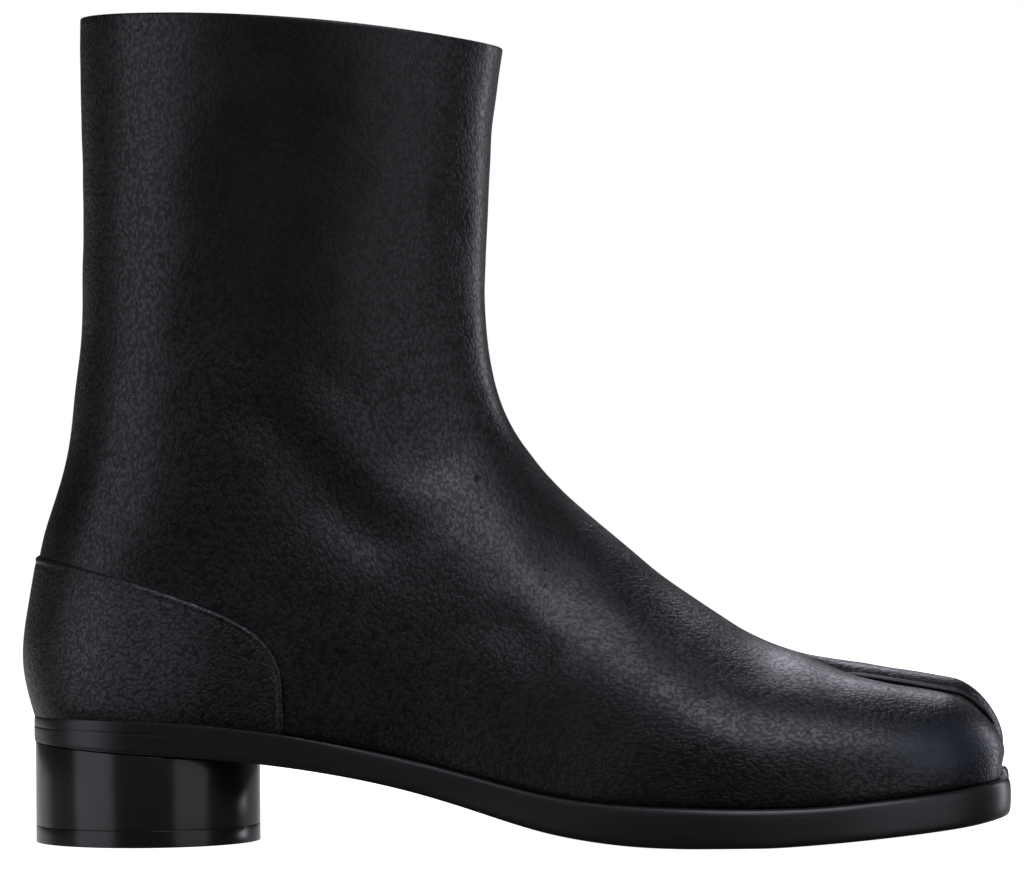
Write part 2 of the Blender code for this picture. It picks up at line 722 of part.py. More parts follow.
def new_collection(name):
    collection = bpy.data.collections.new(name)
    bpy.context.scene.collection.children.link(collection)
    return collection


def stand_on_origin(frame, parts):
    """Move the frame so that the origin lies under the middle of the boot's box."""
    bpy.context.view_layer.update()
    graph = bpy.context.evaluated_depsgraph_get()
    corners = []
    for part in parts:
        shape = part.evaluated_get(graph)
        corners += [shape.matrix_world @ Vector(corner) for corner in shape.bound_box]
    low = Vector([min(corner[axis] for corner in corners) for axis in range(3)])
    high = Vector([max(corner[axis] for corner in corners) for axis in range(3)])
    frame.location = Vector((-(low.x + high.x) / 2, -(low.y + high.y) / 2, -low.z))


def main():
    clear_scene()
    boot = new_collection("tabi_boot")
    cutters = new_collection("cutters")
    frame = bpy.data.objects.new("boot_frame", None)
    boot.objects.link(frame)
    prism = build_counter_prism(cutters, frame)
    parts = [
        build_upper(boot, frame),
        build_counter(boot, frame, prism),
        build_insole(boot, frame),
        build_outsole(boot, frame),
        build_heel_piece("heel_block", LIFT_THICK + GAP, heel_seat, boot, frame),
        build_heel_piece("heel_top_lift", 0.0, lambda x: LIFT_THICK, boot, frame),
    ]
    stand_on_origin(frame, parts)


main()
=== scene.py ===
"""Looks of a split-toe leather ankle boot for the right foot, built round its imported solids.

Sizes are millimetres in the last's own frame: x from the back of the heel to the toes, y from the
outer (little toe) side to the inner (big toe) side, z up from the floor.
"""

import logging
from dataclasses import dataclass, field
from enum import IntEnum
from math import pi, radians
from typing import Any, Callable, NamedTuple, Sequence, Union

import bmesh
import bpy
import numpy as np
from mathutils import Matrix, Vector
from mathutils.noise import noise as soft_noise


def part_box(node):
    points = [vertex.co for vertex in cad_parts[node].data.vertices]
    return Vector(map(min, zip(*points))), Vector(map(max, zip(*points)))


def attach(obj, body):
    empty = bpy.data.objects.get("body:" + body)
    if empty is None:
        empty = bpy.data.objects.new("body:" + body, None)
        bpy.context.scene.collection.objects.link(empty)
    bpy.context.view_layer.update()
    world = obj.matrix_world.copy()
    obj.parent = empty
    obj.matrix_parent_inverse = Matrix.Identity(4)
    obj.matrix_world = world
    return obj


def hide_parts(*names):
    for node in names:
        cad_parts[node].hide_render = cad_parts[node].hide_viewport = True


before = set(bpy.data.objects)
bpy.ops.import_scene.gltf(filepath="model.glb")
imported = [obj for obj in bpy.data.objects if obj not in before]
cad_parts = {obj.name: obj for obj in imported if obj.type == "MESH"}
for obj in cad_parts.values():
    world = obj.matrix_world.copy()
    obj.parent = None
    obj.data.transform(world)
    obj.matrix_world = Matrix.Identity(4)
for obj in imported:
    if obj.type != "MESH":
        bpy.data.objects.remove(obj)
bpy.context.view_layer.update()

log = logging.getLogger("boot")

Array = np.ndarray
Number = Union[float, np.ndarray]
Span = tuple[float, float]
Points = Sequence[Span]
Triple = tuple[float, float, float]
Colour = tuple[float, float, float]
Value = Union[float, "Shade"]
HeightLine = Callable[[Number], Number]

MM = 0.001
RIGHT_ANGLE = 0.5 * pi
MIDDLE = 0.5
BLACK: Colour = (0.0, 0.0, 0.0)
WHITE = (1.0, 1.0, 1.0, 1.0)

BODY = "root"

# Meshing
MERGE = 0.01 * MM
PLACE_DIGITS = 7
MAX_SHELL_STRETCH = 1.3
CURVE_STEPS = 360
PATH_FINENESS = 8
HALVINGS = 40
EDGE_TRIES = 30
SHARP_ANGLE = radians(45)
SOFT_ANGLE = radians(60)
COUNTER_ANGLE = radians(70)


class Side(IntEnum):
    """Side of the boot, as the sign of y."""

    LATERAL = -1
    MEDIAL = 1

    @property
    def field(self) -> str:
        """Name of the table column for this side."""
        return self.name.lower()


class Leather(IntEnum):
    """Material slots of the upper."""

    OUTSIDE = 0
    LINING = 1


# Upper and counter
GAP = 0.3
BULGE = 1.3
HEEL_BACK = 4.2
HEEL_CENTRE = 36.0
HEEL_PLAN_ROUND = 2.2
HEEL_CORNER_ROW = 12
COLLAR_ARCH = 2.3
COLLAR_ARCH_START = 16.0
BACK_ROUND = 2.2
INNER_ROUND = 2.2
CLEFT_WALL_ROUND = 4.6
SPLIT_BLEND_ROW = 3.0
CROTCH_ROW = 1.0
QUARTER_ROWS = (4.0, 20.0)

# Split toe
CROTCH = 225.0
CLEFT_Y = 9.0
CLEFT_GAP = 5.0
CLEFT_ROUND = 3.0
CLEFT_OPENING = 8.0
ROUND_END = 0.5
POINTED_END = 1.0
GROOVE_START = 196.0
GROOVE_POWER = 6.0
RIDGES_APART = 246.0
LOBE_PLAN_ROUND = 2.4
LOBE_SWELL = 8.0
LOBE_FLANK = 0.2
LOBE_SIDE_ROUND = 2.0
NOSE_HEIGHT = 7.0
NOSE_LEAN = 1.6
NOSE_LEAN_POWER = 3
RIDGE_TO_TIP_POWER = 3

# Sole and heel
TIP_FLANGE = 2.2
CLEFT_FLANGE = 0.5
CROTCH_FLANGE = 0.6
SOLE_SWELL = 1.1
CLEFT_SWELL = 0.3
HEEL_SWELL = 0.2
HEEL_SEAT_END = 70.0
HEEL_SEAT_FADE = 45.0
HEEL_LINE_END = 34.0
HEEL_LINE_FADE = 26.0
HEEL_RADIUS = 32.3
LIFT_THICK = 4.8


class Lobe(NamedTuple):
    """One toe lobe: where its tip and ridge lie, how its plan drifts and how long its nose is."""

    tip: float
    tip_y: float
    ridge_y: float
    drift: float
    nose: float


class LobeTop(NamedTuple):
    """Height of the crowns of both lobes at one x."""

    x: float
    lateral: float
    medial: float


class Plan(NamedTuple):
    """Half-widths of the upper's base line at one x, and how far the sole stands out past it."""

    x: float
    lateral: float
    medial: float
    flange: float


class SoleLine(NamedTuple):
    """Heights of the sole's top and underside at one x."""

    x: float
    seat: float
    tread: float


class SoleEdge(NamedTuple):
    """One ring of the sole's side: depth as a share of the thickness, swell, and step inward at the heel."""

    depth: float
    swell: float
    heel_step: float


class Section(NamedTuple):
    """A section of the upper, from a base point on the sole or up the back to a top point on the front.

    rise is the base point's height up the back, swell the height over the sole where the side is
    fullest, flank the share where the side starts to round over, back_centre where the back's round ends.
    """

    base_x: float
    rise: float
    top_x: float
    top_z: float
    ridge_y: float
    lateral: float
    medial: float
    swell: float
    flank: float
    round: float
    back_centre: float


LOBES = {
    Side.LATERAL: Lobe(tip=280.4, tip_y=-13.5, ridge_y=-14.0, drift=0.12, nose=17.0),
    Side.MEDIAL: Lobe(tip=283.6, tip_y=25.5, ridge_y=27.0, drift=0.0, nose=13.5),
}
LOBE_TOPS = (
    LobeTop(204, 62.0, 62.0),
    LobeTop(214.5, 56.3, 56.3),
    LobeTop(225, 52.2, 52.2),
    LobeTop(234, 48.5, 50.2),
    LobeTop(246, 45.0, 48.4),
    LobeTop(260, 42.3, 46.0),
    LobeTop(275, 40.2, 43.4),
    LobeTop(290, 38.4, 41.0),
)
PLAN = (
    Plan(0, 31.4, 31.4, 0.6),
    Plan(36, 31.6, 31.6, 0.6),
    Plan(70, 31.2, 29.6, 1.0),
    Plan(100, 32.2, 26.8, 1.6),
    Plan(130, 36.2, 27.6, 2.2),
    Plan(160, 42.6, 34.4, 2.6),
    Plan(185, 46.6, 42.4, 2.8),
    Plan(205, 47.3, 46.6, 2.8),
    Plan(225, 45.4, 47.4, 2.8),
    Plan(245, 43.3, 47.2, 2.8),
)
SOLE_LINES = (
    SoleLine(0, 36.4, 29.3),
    SoleLine(20, 36.2, 27.7),
    SoleLine(40, 35.6, 26.1),
    SoleLine(60, 33.8, 24.5),
    SoleLine(77, 31.5, 22.5),
    SoleLine(94, 28.5, 19.7),
    SoleLine(112, 24.7, 15.7),
    SoleLine(130, 20.1, 10.4),
    SoleLine(148, 15.4, 4.9),
    SoleLine(164, 12.9, 1.8),
    SoleLine(180, 11.8, 0.3),
    SoleLine(190, 11.4, 0.0),
    SoleLine(212, 11.0, 0.0),
    SoleLine(226, 11.3, 0.7),
    SoleLine(244, 12.7, 2.1),
    SoleLine(262, 14.5, 3.8),
    SoleLine(274, 16.1, 5.3),
    SoleLine(288, 18.4, 8.2),
)
# Rounded upper edge, upright side and rounded lower edge; the heel end has fine lines along it
SOLE_EDGE = (
    SoleEdge(0.03, 0.36, 0.0),
    SoleEdge(0.08, 0.66, 0.0),
    SoleEdge(0.16, 0.86, 0.0),
    SoleEdge(0.27, 0.97, 0.0),
    SoleEdge(0.36, 1.00, 0.0),
    SoleEdge(0.39, 1.00, 0.14),
    SoleEdge(0.42, 1.00, 0.0),
    SoleEdge(0.46, 1.00, 0.0),
    SoleEdge(0.60, 0.98, 0.0),
    SoleEdge(0.75, 0.92, 0.0),
    SoleEdge(0.88, 0.76, 0.0),
    SoleEdge(0.95, 0.50, 0.0),
    SoleEdge(0.985, 0.22, 0.10),
)
# The first section only steers the slope at the second one, the crotch of the split toe
SECTIONS = (
    Section(240, 0, 240.0, 48.0, 9.0, 45.0, 48.6, 8, 0.20, 2.0, 36),
    Section(225, 0, 225.0, 52.2, 9.0, 46.7, 48.7, 8, 0.20, 2.0, 36),
    Section(210, 0, 214.5, 56.3, 8.5, 48.3, 48.6, 9, 0.20, 2.0, 36),
    Section(194, 0, 204.5, 62.0, 7.5, 48.5, 46.2, 10, 0.20, 2.0, 36),
    Section(177, 0, 194.5, 68.3, 6.2, 47.0, 41.6, 12, 0.20, 2.0, 36),
    Section(158, 0, 183.5, 76.3, 4.8, 43.4, 36.4, 14, 0.21, 2.0, 36),
    Section(138, 0, 172.5, 85.6, 3.4, 39.0, 32.4, 16, 0.23, 2.0, 36),
    Section(116, 0, 161.5, 95.2, 2.2, 35.4, 30.8, 18, 0.25, 2.05, 36),
    Section(92, 0, 151.9, 104.9, 1.2, 34.0, 31.2, 18, 0.26, 2.1, 36),
    Section(66, 0, 145.0, 113.4, 0.6, 33.6, 32.4, 18, 0.26, 2.15, 36),
    Section(40, 0, 140.5, 120.7, 0.2, 33.6, 33.4, 18, 0.26, 2.15, 36),
    Section(17, 0, 137.7, 127.8, 0.0, 33.7, 33.7, 18, 0.26, 2.15, 36),
    Section(HEEL_BACK, 0, 135.9, 134.6, 0.0, 33.8, 33.8, 18, 0.27, 2.15, 36),
    Section(1.1, 14.0, 134.8, 142.2, 0.0, 33.8, 33.8, 18, 0.28, 2.15, 37),
    Section(2.9, 33.0, 134.2, 150.7, 0.0, 33.6, 33.6, 18, 0.30, 2.15, 40),
    Section(6.4, 50.5, 134.1, 160.2, 0.0, 33.2, 33.2, 18, 0.34, 2.1, 46),
    Section(11.6, 67.5, 134.5, 170.6, 0.0, 33.0, 33.0, 18, 0.38, 2.1, 54),
    Section(14.9, 86.0, 135.1, 181.2, 0.0, 33.0, 33.0, 18, 0.42, 2.1, 62),
    Section(17.4, 107.0, 135.8, 191.9, 0.0, 33.4, 33.4, 18, 0.45, 2.1, 68),
    Section(18.3, 129.0, 136.6, 202.0, 0.0, 34.0, 34.0, 18, 0.47, 2.1, 72),
    Section(18.3, 153.0, 137.5, 211.0, 0.0, 34.7, 34.7, 18, 0.49, 2.1, 75),
    Section(18.1, 176.4, 138.5, 219.9, 0.0, 35.4, 35.4, 18, 0.50, 2.1, 77),
    Section(17.8, 200.4, 139.7, 227.7, 0.0, 36.0, 36.0, 18, 0.50, 2.1, 78),
)
COUNTER_EDGE: Points = (
    (-6.0, 84.0),
    (5.0, 82.2),
    (27.0, 77.2),
    (45.0, 71.4),
    (61.5, 64.8),
    (70.6, 58.6),
    (75.2, 51.5),
    (76.6, 41.7),
)
COUNTER_FRONT = COUNTER_EDGE[-1][0]


class Spline:
    """Natural cubic spline through places and values."""

    def __init__(self, places: Sequence[float], values: Sequence[float]) -> None:
        """Solve for the bend at each place.

        Args:
            places: Rising places along the spline.
            values: Value at each place.
        """
        self.place = np.asarray(places, dtype=float)
        self.value = np.asarray(values, dtype=float)
        self.step = np.diff(self.place)
        count = len(self.place)
        matrix = np.eye(count)
        target = np.zeros(count)
        slope = np.diff(self.value) / self.step
        for row in range(1, count - 1):
            before, after = self.step[row - 1], self.step[row]
            matrix[row, row - 1:row + 2] = before, 2 * (before + after), after
            target[row] = 6 * (slope[row] - slope[row - 1])
        self.bend = np.linalg.solve(matrix, target)

    def __call__(self, where: Number) -> Number:
        """Read the spline.

        Args:
            where: One place or an array of places.

        Returns:
            The value at each place.
        """
        spot = np.asarray(where, dtype=float)
        row = np.clip(np.searchsorted(self.place, spot) - 1, 0, len(self.step) - 1)
        width = self.step[row]
        after = spot - self.place[row]
        before = self.place[row + 1] - spot
        cubic = (self.bend[row] * before ** 3 + self.bend[row + 1] * after ** 3) / (6 * width)
        low = self.value[row] / width - self.bend[row] * width / 6
        high = self.value[row + 1] / width - self.bend[row + 1] * width / 6
        return cubic + low * before + high * after


def table_splines(rows: Sequence[Any], key: str = "") -> dict[str, Spline]:
    """Draw a spline through each column of a table.

    Args:
        rows: Rows of the table.
        key: Column of places; the row numbers if empty.

    Returns:
        A spline for each other column.
    """
    places = [getattr(row, key) for row in rows] if key else list(range(len(rows)))
    columns = [name for name in rows[0]._fields if name != key]
    return {name: Spline(places, [getattr(row, name) for row in rows]) for name in columns}


def clamp(value: Number) -> Number:
    """Hold a value between 0 and 1."""
    return np.clip(value, 0.0, 1.0)


def smooth_step(value: Number) -> Number:
    """Ease a share from 0 to 1."""
    share = clamp(value)
    return share * share * (3 - 2 * share)


def rounded(share: Number, power: float) -> Number:
    """Height of a unit superellipse quarter at a share of its length."""
    return (1 - clamp(share) ** power) ** (1 / power)


def lobe_shares(count: int) -> Array:
    """Shares of a toe lobe's length for its rows, from the tip towards the crotch, closer at both ends."""
    return 0.5 + 0.5 * np.cos(np.linspace(0.0, pi, count + 1)[:-1])


def along_curve(chain: Array, count: int) -> Array:
    """Spread points evenly along a polyline.

    Args:
        chain: Points of the polyline.
        count: Number of equal steps.

    Returns:
        count + 1 points from its start to its end.
    """
    lengths = np.concatenate(([0.0], np.cumsum(np.linalg.norm(np.diff(chain, axis=0), axis=1))))
    places = np.linspace(0.0, lengths[-1], count + 1)
    return np.stack([np.interp(places, lengths, chain[:, axis]) for axis in range(chain.shape[1])], axis=1)


def smooth_path(points: Points, count: int) -> Array:
    """Draw a smooth curve through a few points.

    Args:
        points: Points to pass through.
        count: Number of equal steps wanted along the curve.

    Returns:
        count + 1 points on the curve.
    """
    knots = np.asarray(points, dtype=float)
    chords = np.concatenate(([0.0], np.cumsum(np.linalg.norm(np.diff(knots, axis=0), axis=1))))
    places = np.linspace(0.0, chords[-1], PATH_FINENESS * count + 1)
    chain = np.stack([Spline(chords, knots[:, axis])(places) for axis in range(knots.shape[1])], axis=1)
    return along_curve(chain, count)


@dataclass(frozen=True)
class Rim:
    """How far a plan stands out past the upper's base line.

    Attributes:
        side: Margin along the sides, over x.
        tip: Margin at the tips of the lobes.
        cleft: Margin inside the cleft.
        crotch: Margin at the bottom of the cleft.
        opening: Length over which the cleft opens to its full width.
        end: Power of the opening, which makes the end of the cleft round or pointed.
    """

    side: Callable[[Number], Number]
    tip: float
    cleft: float
    crotch: float
    opening: float = CLEFT_ROUND
    end: float = ROUND_END


@dataclass(frozen=True)
class Half:
    """One half of a cross-section of the upper.

    Attributes:
        base: Base point (x, z) on the sole line or up the back.
        top: Point (x, z) of the ridge.
        inner: Point (x, z) where the half ends in the middle or in the cleft.
        side_y: y of the side over x and z.
        ridge_y: y of the ridge.
        inner_y: y of the inner end.
        flank: Share where the side starts to round over.
        round: Power of the rounding.
        arch: Lift halfway along.
        inner_round: Power of the rounding down into the middle or the cleft.
    """

    base: Array
    top: Array
    inner: Array
    side_y: Callable[[Number, Number], Number]
    ridge_y: float
    inner_y: float
    flank: float
    round: float
    arch: float
    inner_round: float = INNER_ROUND

    def fall(self, turn: Array) -> Array:
        """Points from the ridge down into the middle or the cleft.

        Args:
            turn: Angles from 0 at the ridge to a right angle at the inner end.

        Returns:
            A point for each angle.
        """
        power = 2 / self.inner_round
        drop = 1 - np.maximum(0.0, np.cos(turn)) ** power
        y = self.ridge_y + (self.inner_y - self.ridge_y) * np.sin(turn) ** power
        x, z = (self.top[axis] + (self.inner[axis] - self.top[axis]) * drop for axis in range(2))
        return np.stack((x, y, z), axis=1)

    def turn_below(self, depth: float) -> float:
        """Angle of the fall at a depth below the ridge."""
        left = 1 - depth / (self.top[1] - self.inner[1])
        return float(np.arccos(max(0.0, left) ** (self.inner_round / 2)))


class Last:
    """Shape of the boot, read from its tables."""

    def __init__(self) -> None:
        """Draw the splines of all tables."""
        self.plan = table_splines(PLAN, "x")
        self.sole = table_splines(SOLE_LINES, "x")
        self.lobe_top = table_splines(LOBE_TOPS, "x")
        self.section = table_splines(SECTIONS)
        backs = SECTIONS[HEEL_CORNER_ROW:]
        self.heel_level = float(self.seat(HEEL_BACK)) + GAP
        levels = [self.heel_level + section.rise for section in backs]
        self.back = Spline(levels, [section.base_x for section in backs])
        self.back_centre = Spline(levels, [section.back_centre for section in backs])
        self.upper_rim = Rim(np.zeros_like, 0.0, 0.0, 0.0, CLEFT_OPENING, POINTED_END)
        self.sole_rim = Rim(self.plan["flange"], TIP_FLANGE, CLEFT_FLANGE, CROTCH_FLANGE)

    def seat(self, x: Number) -> Number:
        """Height of the sole's top at x."""
        return self.sole["seat"](x)

    def tread(self, x: Number) -> Number:
        """Height of the sole's underside at x."""
        return np.maximum(0.0, self.sole["tread"](x))

    def side_width(self, x: Number, side: Side, rim: Rim) -> Number:
        """Half-width of a plan behind the split.

        Args:
            x: Place along the foot.
            side: Side of the boot.
            rim: Margin past the base line.

        Returns:
            Distance of the plan's edge from the middle.
        """
        spot = np.asarray(x, dtype=float)
        margin = rim.side(spot)
        heel = rounded((HEEL_CENTRE - spot) / (HEEL_CENTRE - HEEL_BACK + margin), HEEL_PLAN_ROUND)
        return (self.plan[side.field](spot) + margin) * heel

    def lobe_x(self, share: Number, side: Side, rim: Rim) -> Number:
        """x at a share of a lobe's length, 0 at the crotch and 1 at the tip."""
        crotch = CROTCH + rim.crotch
        return crotch + (LOBES[side].tip + rim.tip - crotch) * share

    def lobe_edges(self, share: float, side: Side, rim: Rim) -> tuple[float, float]:
        """Plan of one toe lobe.

        Args:
            share: Share of the lobe's length.
            side: Side of the boot.
            rim: Margin past the base line.

        Returns:
            Outer and inner y.
        """
        lobe = LOBES[side]
        length = self.lobe_x(1.0, side, rim) - self.lobe_x(0.0, side, rim)
        outer = side * float(self.side_width(self.lobe_x(0.0, side, rim), side, rim))
        inner = CLEFT_Y + side * (CLEFT_GAP / 2 - rim.cleft)
        middle = (outer + inner) / 2
        drift = lobe.drift * length
        centre = middle + drift * share + (lobe.tip_y - middle - drift) * share ** 2
        reach = abs(outer - inner) / 2 * rounded(share, LOBE_PLAN_ROUND)
        split = (1 - (1 - clamp(share * length / rim.opening)) ** 2) ** rim.end
        inner_y = CLEFT_Y + (centre - side * reach - CLEFT_Y) * split
        return float(centre + side * reach), float(inner_y)

    def side_swell(self, x: Number, z: Number, height: Number) -> Number:
        """How full the side is at a height over the sole, from 0 at the base line to 1."""
        short = 1 - clamp((z - self.seat(x) - GAP) / height)
        return np.sqrt(1 - short * short)

    def ridge(self, x: float, side: Side, meeting_y: float) -> float:
        """y of a half's ridge: on the shared crown behind the split, spreading to the lobe's own ridge."""
        apart = smooth_step((x - GROOVE_START) / (RIDGES_APART - GROOVE_START))
        return float(meeting_y + (LOBES[side].ridge_y - meeting_y) * apart)

    def lobe_half(self, share: float, side: Side) -> Half:
        """Half-section of one toe lobe.

        Args:
            share: Share of the lobe's length, 0 at the crotch and 1 at the tip.
            side: Side of the boot.

        Returns:
            The half-section.
        """
        lobe = LOBES[side]
        x = self.lobe_x(share, side, self.upper_rim)
        nose = float(clamp((x - lobe.tip) / lobe.nose + 1))
        base = np.array((x, float(self.seat(x)) + GAP))
        nose_z = base[1] + NOSE_HEIGHT
        crown = float(self.lobe_top[side.field](x))
        lean = NOSE_LEAN * nose ** NOSE_LEAN_POWER
        top = np.array((x + lean, nose_z + (crown - nose_z) * np.sqrt(1 - nose ** 2)))
        outer_y, inner_y = self.lobe_edges(share, side, self.upper_rim)
        bulge = side * BULGE * rounded(share, LOBE_PLAN_ROUND)
        ridge_y = self.ridge(x, side, CLEFT_Y)
        ridge_y += (lobe.tip_y - ridge_y) * share ** RIDGE_TO_TIP_POWER

        def side_y(_: Number, z: Number) -> Number:
            """y of the lobe's outer side at a height."""
            return outer_y + bulge * self.side_swell(x, z, LOBE_SWELL)

        return Half(base, top, base, side_y, ridge_y, inner_y, LOBE_FLANK, LOBE_SIDE_ROUND, 0.0,
                    CLEFT_WALL_ROUND)

    def back_round(self, x: Number, z: Number) -> Number:
        """Round off the back of the heel and shaft.

        Args:
            x: Place along the foot.
            z: Height.

        Returns:
            Share of the full width that is left.
        """
        level = np.maximum(z, self.heel_level)
        centre = self.back_centre(level)
        return rounded((centre - x) / (centre - self.back(level)), BACK_ROUND)

    def base_row(self, row: Number) -> Number:
        """Slow the rows to a stop where the base line turns up the back.

        Args:
            row: Row of the section table.

        Returns:
            Row that the base point is taken from.
        """
        away = np.asarray(row, dtype=float) - HEEL_CORNER_ROW
        near = np.minimum(1.0, np.abs(away))
        eased = np.copysign(2 * near ** 2 - near ** 3, away)
        return HEEL_CORNER_ROW + np.where(near == 1.0, away, eased)

    def base_point(self, row: Number) -> tuple[Number, Number]:
        """Find a section's base point.

        Args:
            row: Row of the section table, which may lie between two rows.

        Returns:
            Its x and z.
        """
        eased = self.base_row(row)
        up_z = self.heel_level + np.maximum(0.0, self.section["rise"](eased))
        on_sole = np.asarray(row, dtype=float) < HEEL_CORNER_ROW
        base_x = np.where(on_sole, self.section["base_x"](eased), self.back(up_z))
        return base_x, np.where(on_sole, self.seat(base_x) + GAP, up_z)

    def body_side(self, x: Number, z: Number, row: Number, side: Side) -> Number:
        """Side of the foot and shaft before it rounds over.

        Args:
            x: Place along the foot.
            z: Height.
            row: Row of the section table.
            side: Side of the boot.

        Returns:
            y of the side.
        """
        plan = self.plan[side.field](np.minimum(x, CROTCH))
        wide = self.section[side.field](row)
        full = plan + (wide - plan) * self.side_swell(x, z, self.section["swell"](row))
        return side * full * self.back_round(x, z)

    def body_half(self, row: float, side: Side) -> Half:
        """Half-section of the foot or shaft.

        Args:
            row: Row of the section table, which may lie between two rows.
            side: Side of the boot.

        Returns:
            The half-section.
        """
        value = {name: float(curve(row)) for name, curve in self.section.items()}
        base = np.array([float(part) for part in self.base_point(row)])
        crown = np.array((value["top_x"], value["top_z"]))
        depth = clamp((base[0] - GROOVE_START) / (CROTCH - GROOVE_START)) ** GROOVE_POWER
        inner = crown + (base - crown) * depth
        near_split = smooth_step((SPLIT_BLEND_ROW - row) / (SPLIT_BLEND_ROW - CROTCH_ROW))
        lobe_z = self.lobe_top[side.field](value["top_x"])
        top = crown + np.array((0.0, (lobe_z - value["top_z"]) * near_split))
        ridge_y = self.ridge(base[0], side, value["ridge_y"])
        last_row = len(SECTIONS) - 1
        arch = COLLAR_ARCH * clamp((row - COLLAR_ARCH_START) / (last_row - COLLAR_ARCH_START)) ** 2

        def side_y(x: Number, z: Number) -> Number:
            """y of the side at a place and height."""
            return self.body_side(x, z, row, side)

        inner_round = INNER_ROUND + (CLEFT_WALL_ROUND - INNER_ROUND) * float(near_split)
        return Half(base, top, inner, side_y, ridge_y, value["ridge_y"], value["flank"], value["round"],
                    float(arch), inner_round)

    def half_curve(self, half: Half, count: int) -> Array:
        """Draw a half-section.

        Args:
            half: The half-section.
            count: Number of equal steps.

        Returns:
            Points from the sole line up the side, over the ridge and down into the cleft.
        """
        share = 0.5 - 0.5 * np.cos(np.linspace(0.0, pi, CURVE_STEPS + 1))
        x, z = (half.base[axis] + (half.top[axis] - half.base[axis]) * share for axis in range(2))
        outer = rounded((share - half.flank) / (1 - half.flank), half.round)
        y = half.side_y(x, z) * outer + half.ridge_y * (1 - outer)
        rise = np.stack((x, y, z + half.arch * np.sin(pi * share)), axis=1)
        fall = half.fall(np.linspace(0.0, RIGHT_ANGLE, CURVE_STEPS + 1)[1:])
        return along_curve(np.concatenate((rise, fall)), count)

    def section_row(self, halves: Sequence[Half], columns: int) -> Array:
        """One grid row: up the outer half to the middle, then down the inner half."""
        lateral, medial = (self.half_curve(half, columns) for half in halves)
        return np.concatenate((lateral, medial[::-1]))

    def side_at(self, x: Array, z: Array, side: Side) -> Array:
        """Side of the heel and quarters at places seen from the side.

        Args:
            x: Places along the foot.
            z: Heights.
            side: Side of the boot.

        Returns:
            y of the upper's outside at each place.
        """
        low, high = (np.full(np.shape(x), row) for row in QUARTER_ROWS)
        share = np.zeros(np.shape(x))
        for _ in range(HALVINGS):
            row = (low + high) / 2
            base_x, base_z = self.base_point(row)
            run = self.section["top_x"](row) - base_x
            climb = self.section["top_z"](row) - base_z
            above = run * (z - base_z) - climb * (x - base_x) > 0
            low = np.where(above, row, low)
            high = np.where(above, high, row)
            share = (run * (x - base_x) + climb * (z - base_z)) / (run * run + climb * climb)
        flank = self.section["flank"](row)
        outer = rounded((share - flank) / (1 - flank), float(self.section["round"](HEEL_CORNER_ROW)))
        return self.body_side(x, z, row, side) * outer


@dataclass(frozen=True)
class LastFrame:
    """Where the last's frame lies in the row's frame.

    Attributes:
        origin: The last's origin, in metres.
    """

    origin: Vector

    @classmethod
    def from_top_lift(cls) -> "LastFrame":
        """Find the frame from the round top lift, which stands on the floor under the heel's centre."""
        low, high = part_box("heel_top_lift")
        return cls(Vector(((low.x + high.x) / 2 - HEEL_CENTRE * MM, (low.y + high.y) / 2, low.z)))

    def out(self, point: Sequence[float]) -> Vector:
        """Turn a point of the last (mm) into the row's frame (m)."""
        return Vector([float(part) for part in point]) * MM + self.origin

    def back(self, points: Array) -> Array:
        """Turn points of the row's frame (m) into the last's frame (mm)."""
        return (points - np.array(self.origin)) / MM


PLACE = LastFrame.from_top_lift()


@dataclass(frozen=True)
class Fold:
    """A soft trough or ridge in the leather along a path on one side of the boot.

    Attributes:
        side: Side it lies on.
        path: Points (x, z) it runs through.
        depth: How deep the leather sinks, below zero for a ridge.
        width: Distance from the path where most of the sinking is over.
        ends: Share of the path over which each end fades out.
    """

    side: Side
    path: Points
    depth: float
    width: float
    ends: float = 0.3

    STEPS = 40
    END_SHARE = 0.15
    FACING_START = 3.0
    FACING_FULL = 16.0

    def sink(self, points: Array) -> Array:
        """How far points sink into the boot.

        Args:
            points: Points of the upper in the last's frame.

        Returns:
            Depth at each point.
        """
        line = smooth_path(self.path, self.STEPS)
        gaps = np.linalg.norm(points[:, None, (0, 2)] - line[None], axis=2)
        along = np.argmin(gaps, axis=1) / self.STEPS
        near = np.exp(-(np.min(gaps, axis=1) / self.width) ** 2)
        start, end = (smooth_step(share / self.ends + self.END_SHARE) for share in (along, 1 - along))
        outward = self.side * points[:, 1] - self.FACING_START
        facing = smooth_step(outward / (self.FACING_FULL - self.FACING_START))
        return self.depth * near * (start * end) * facing


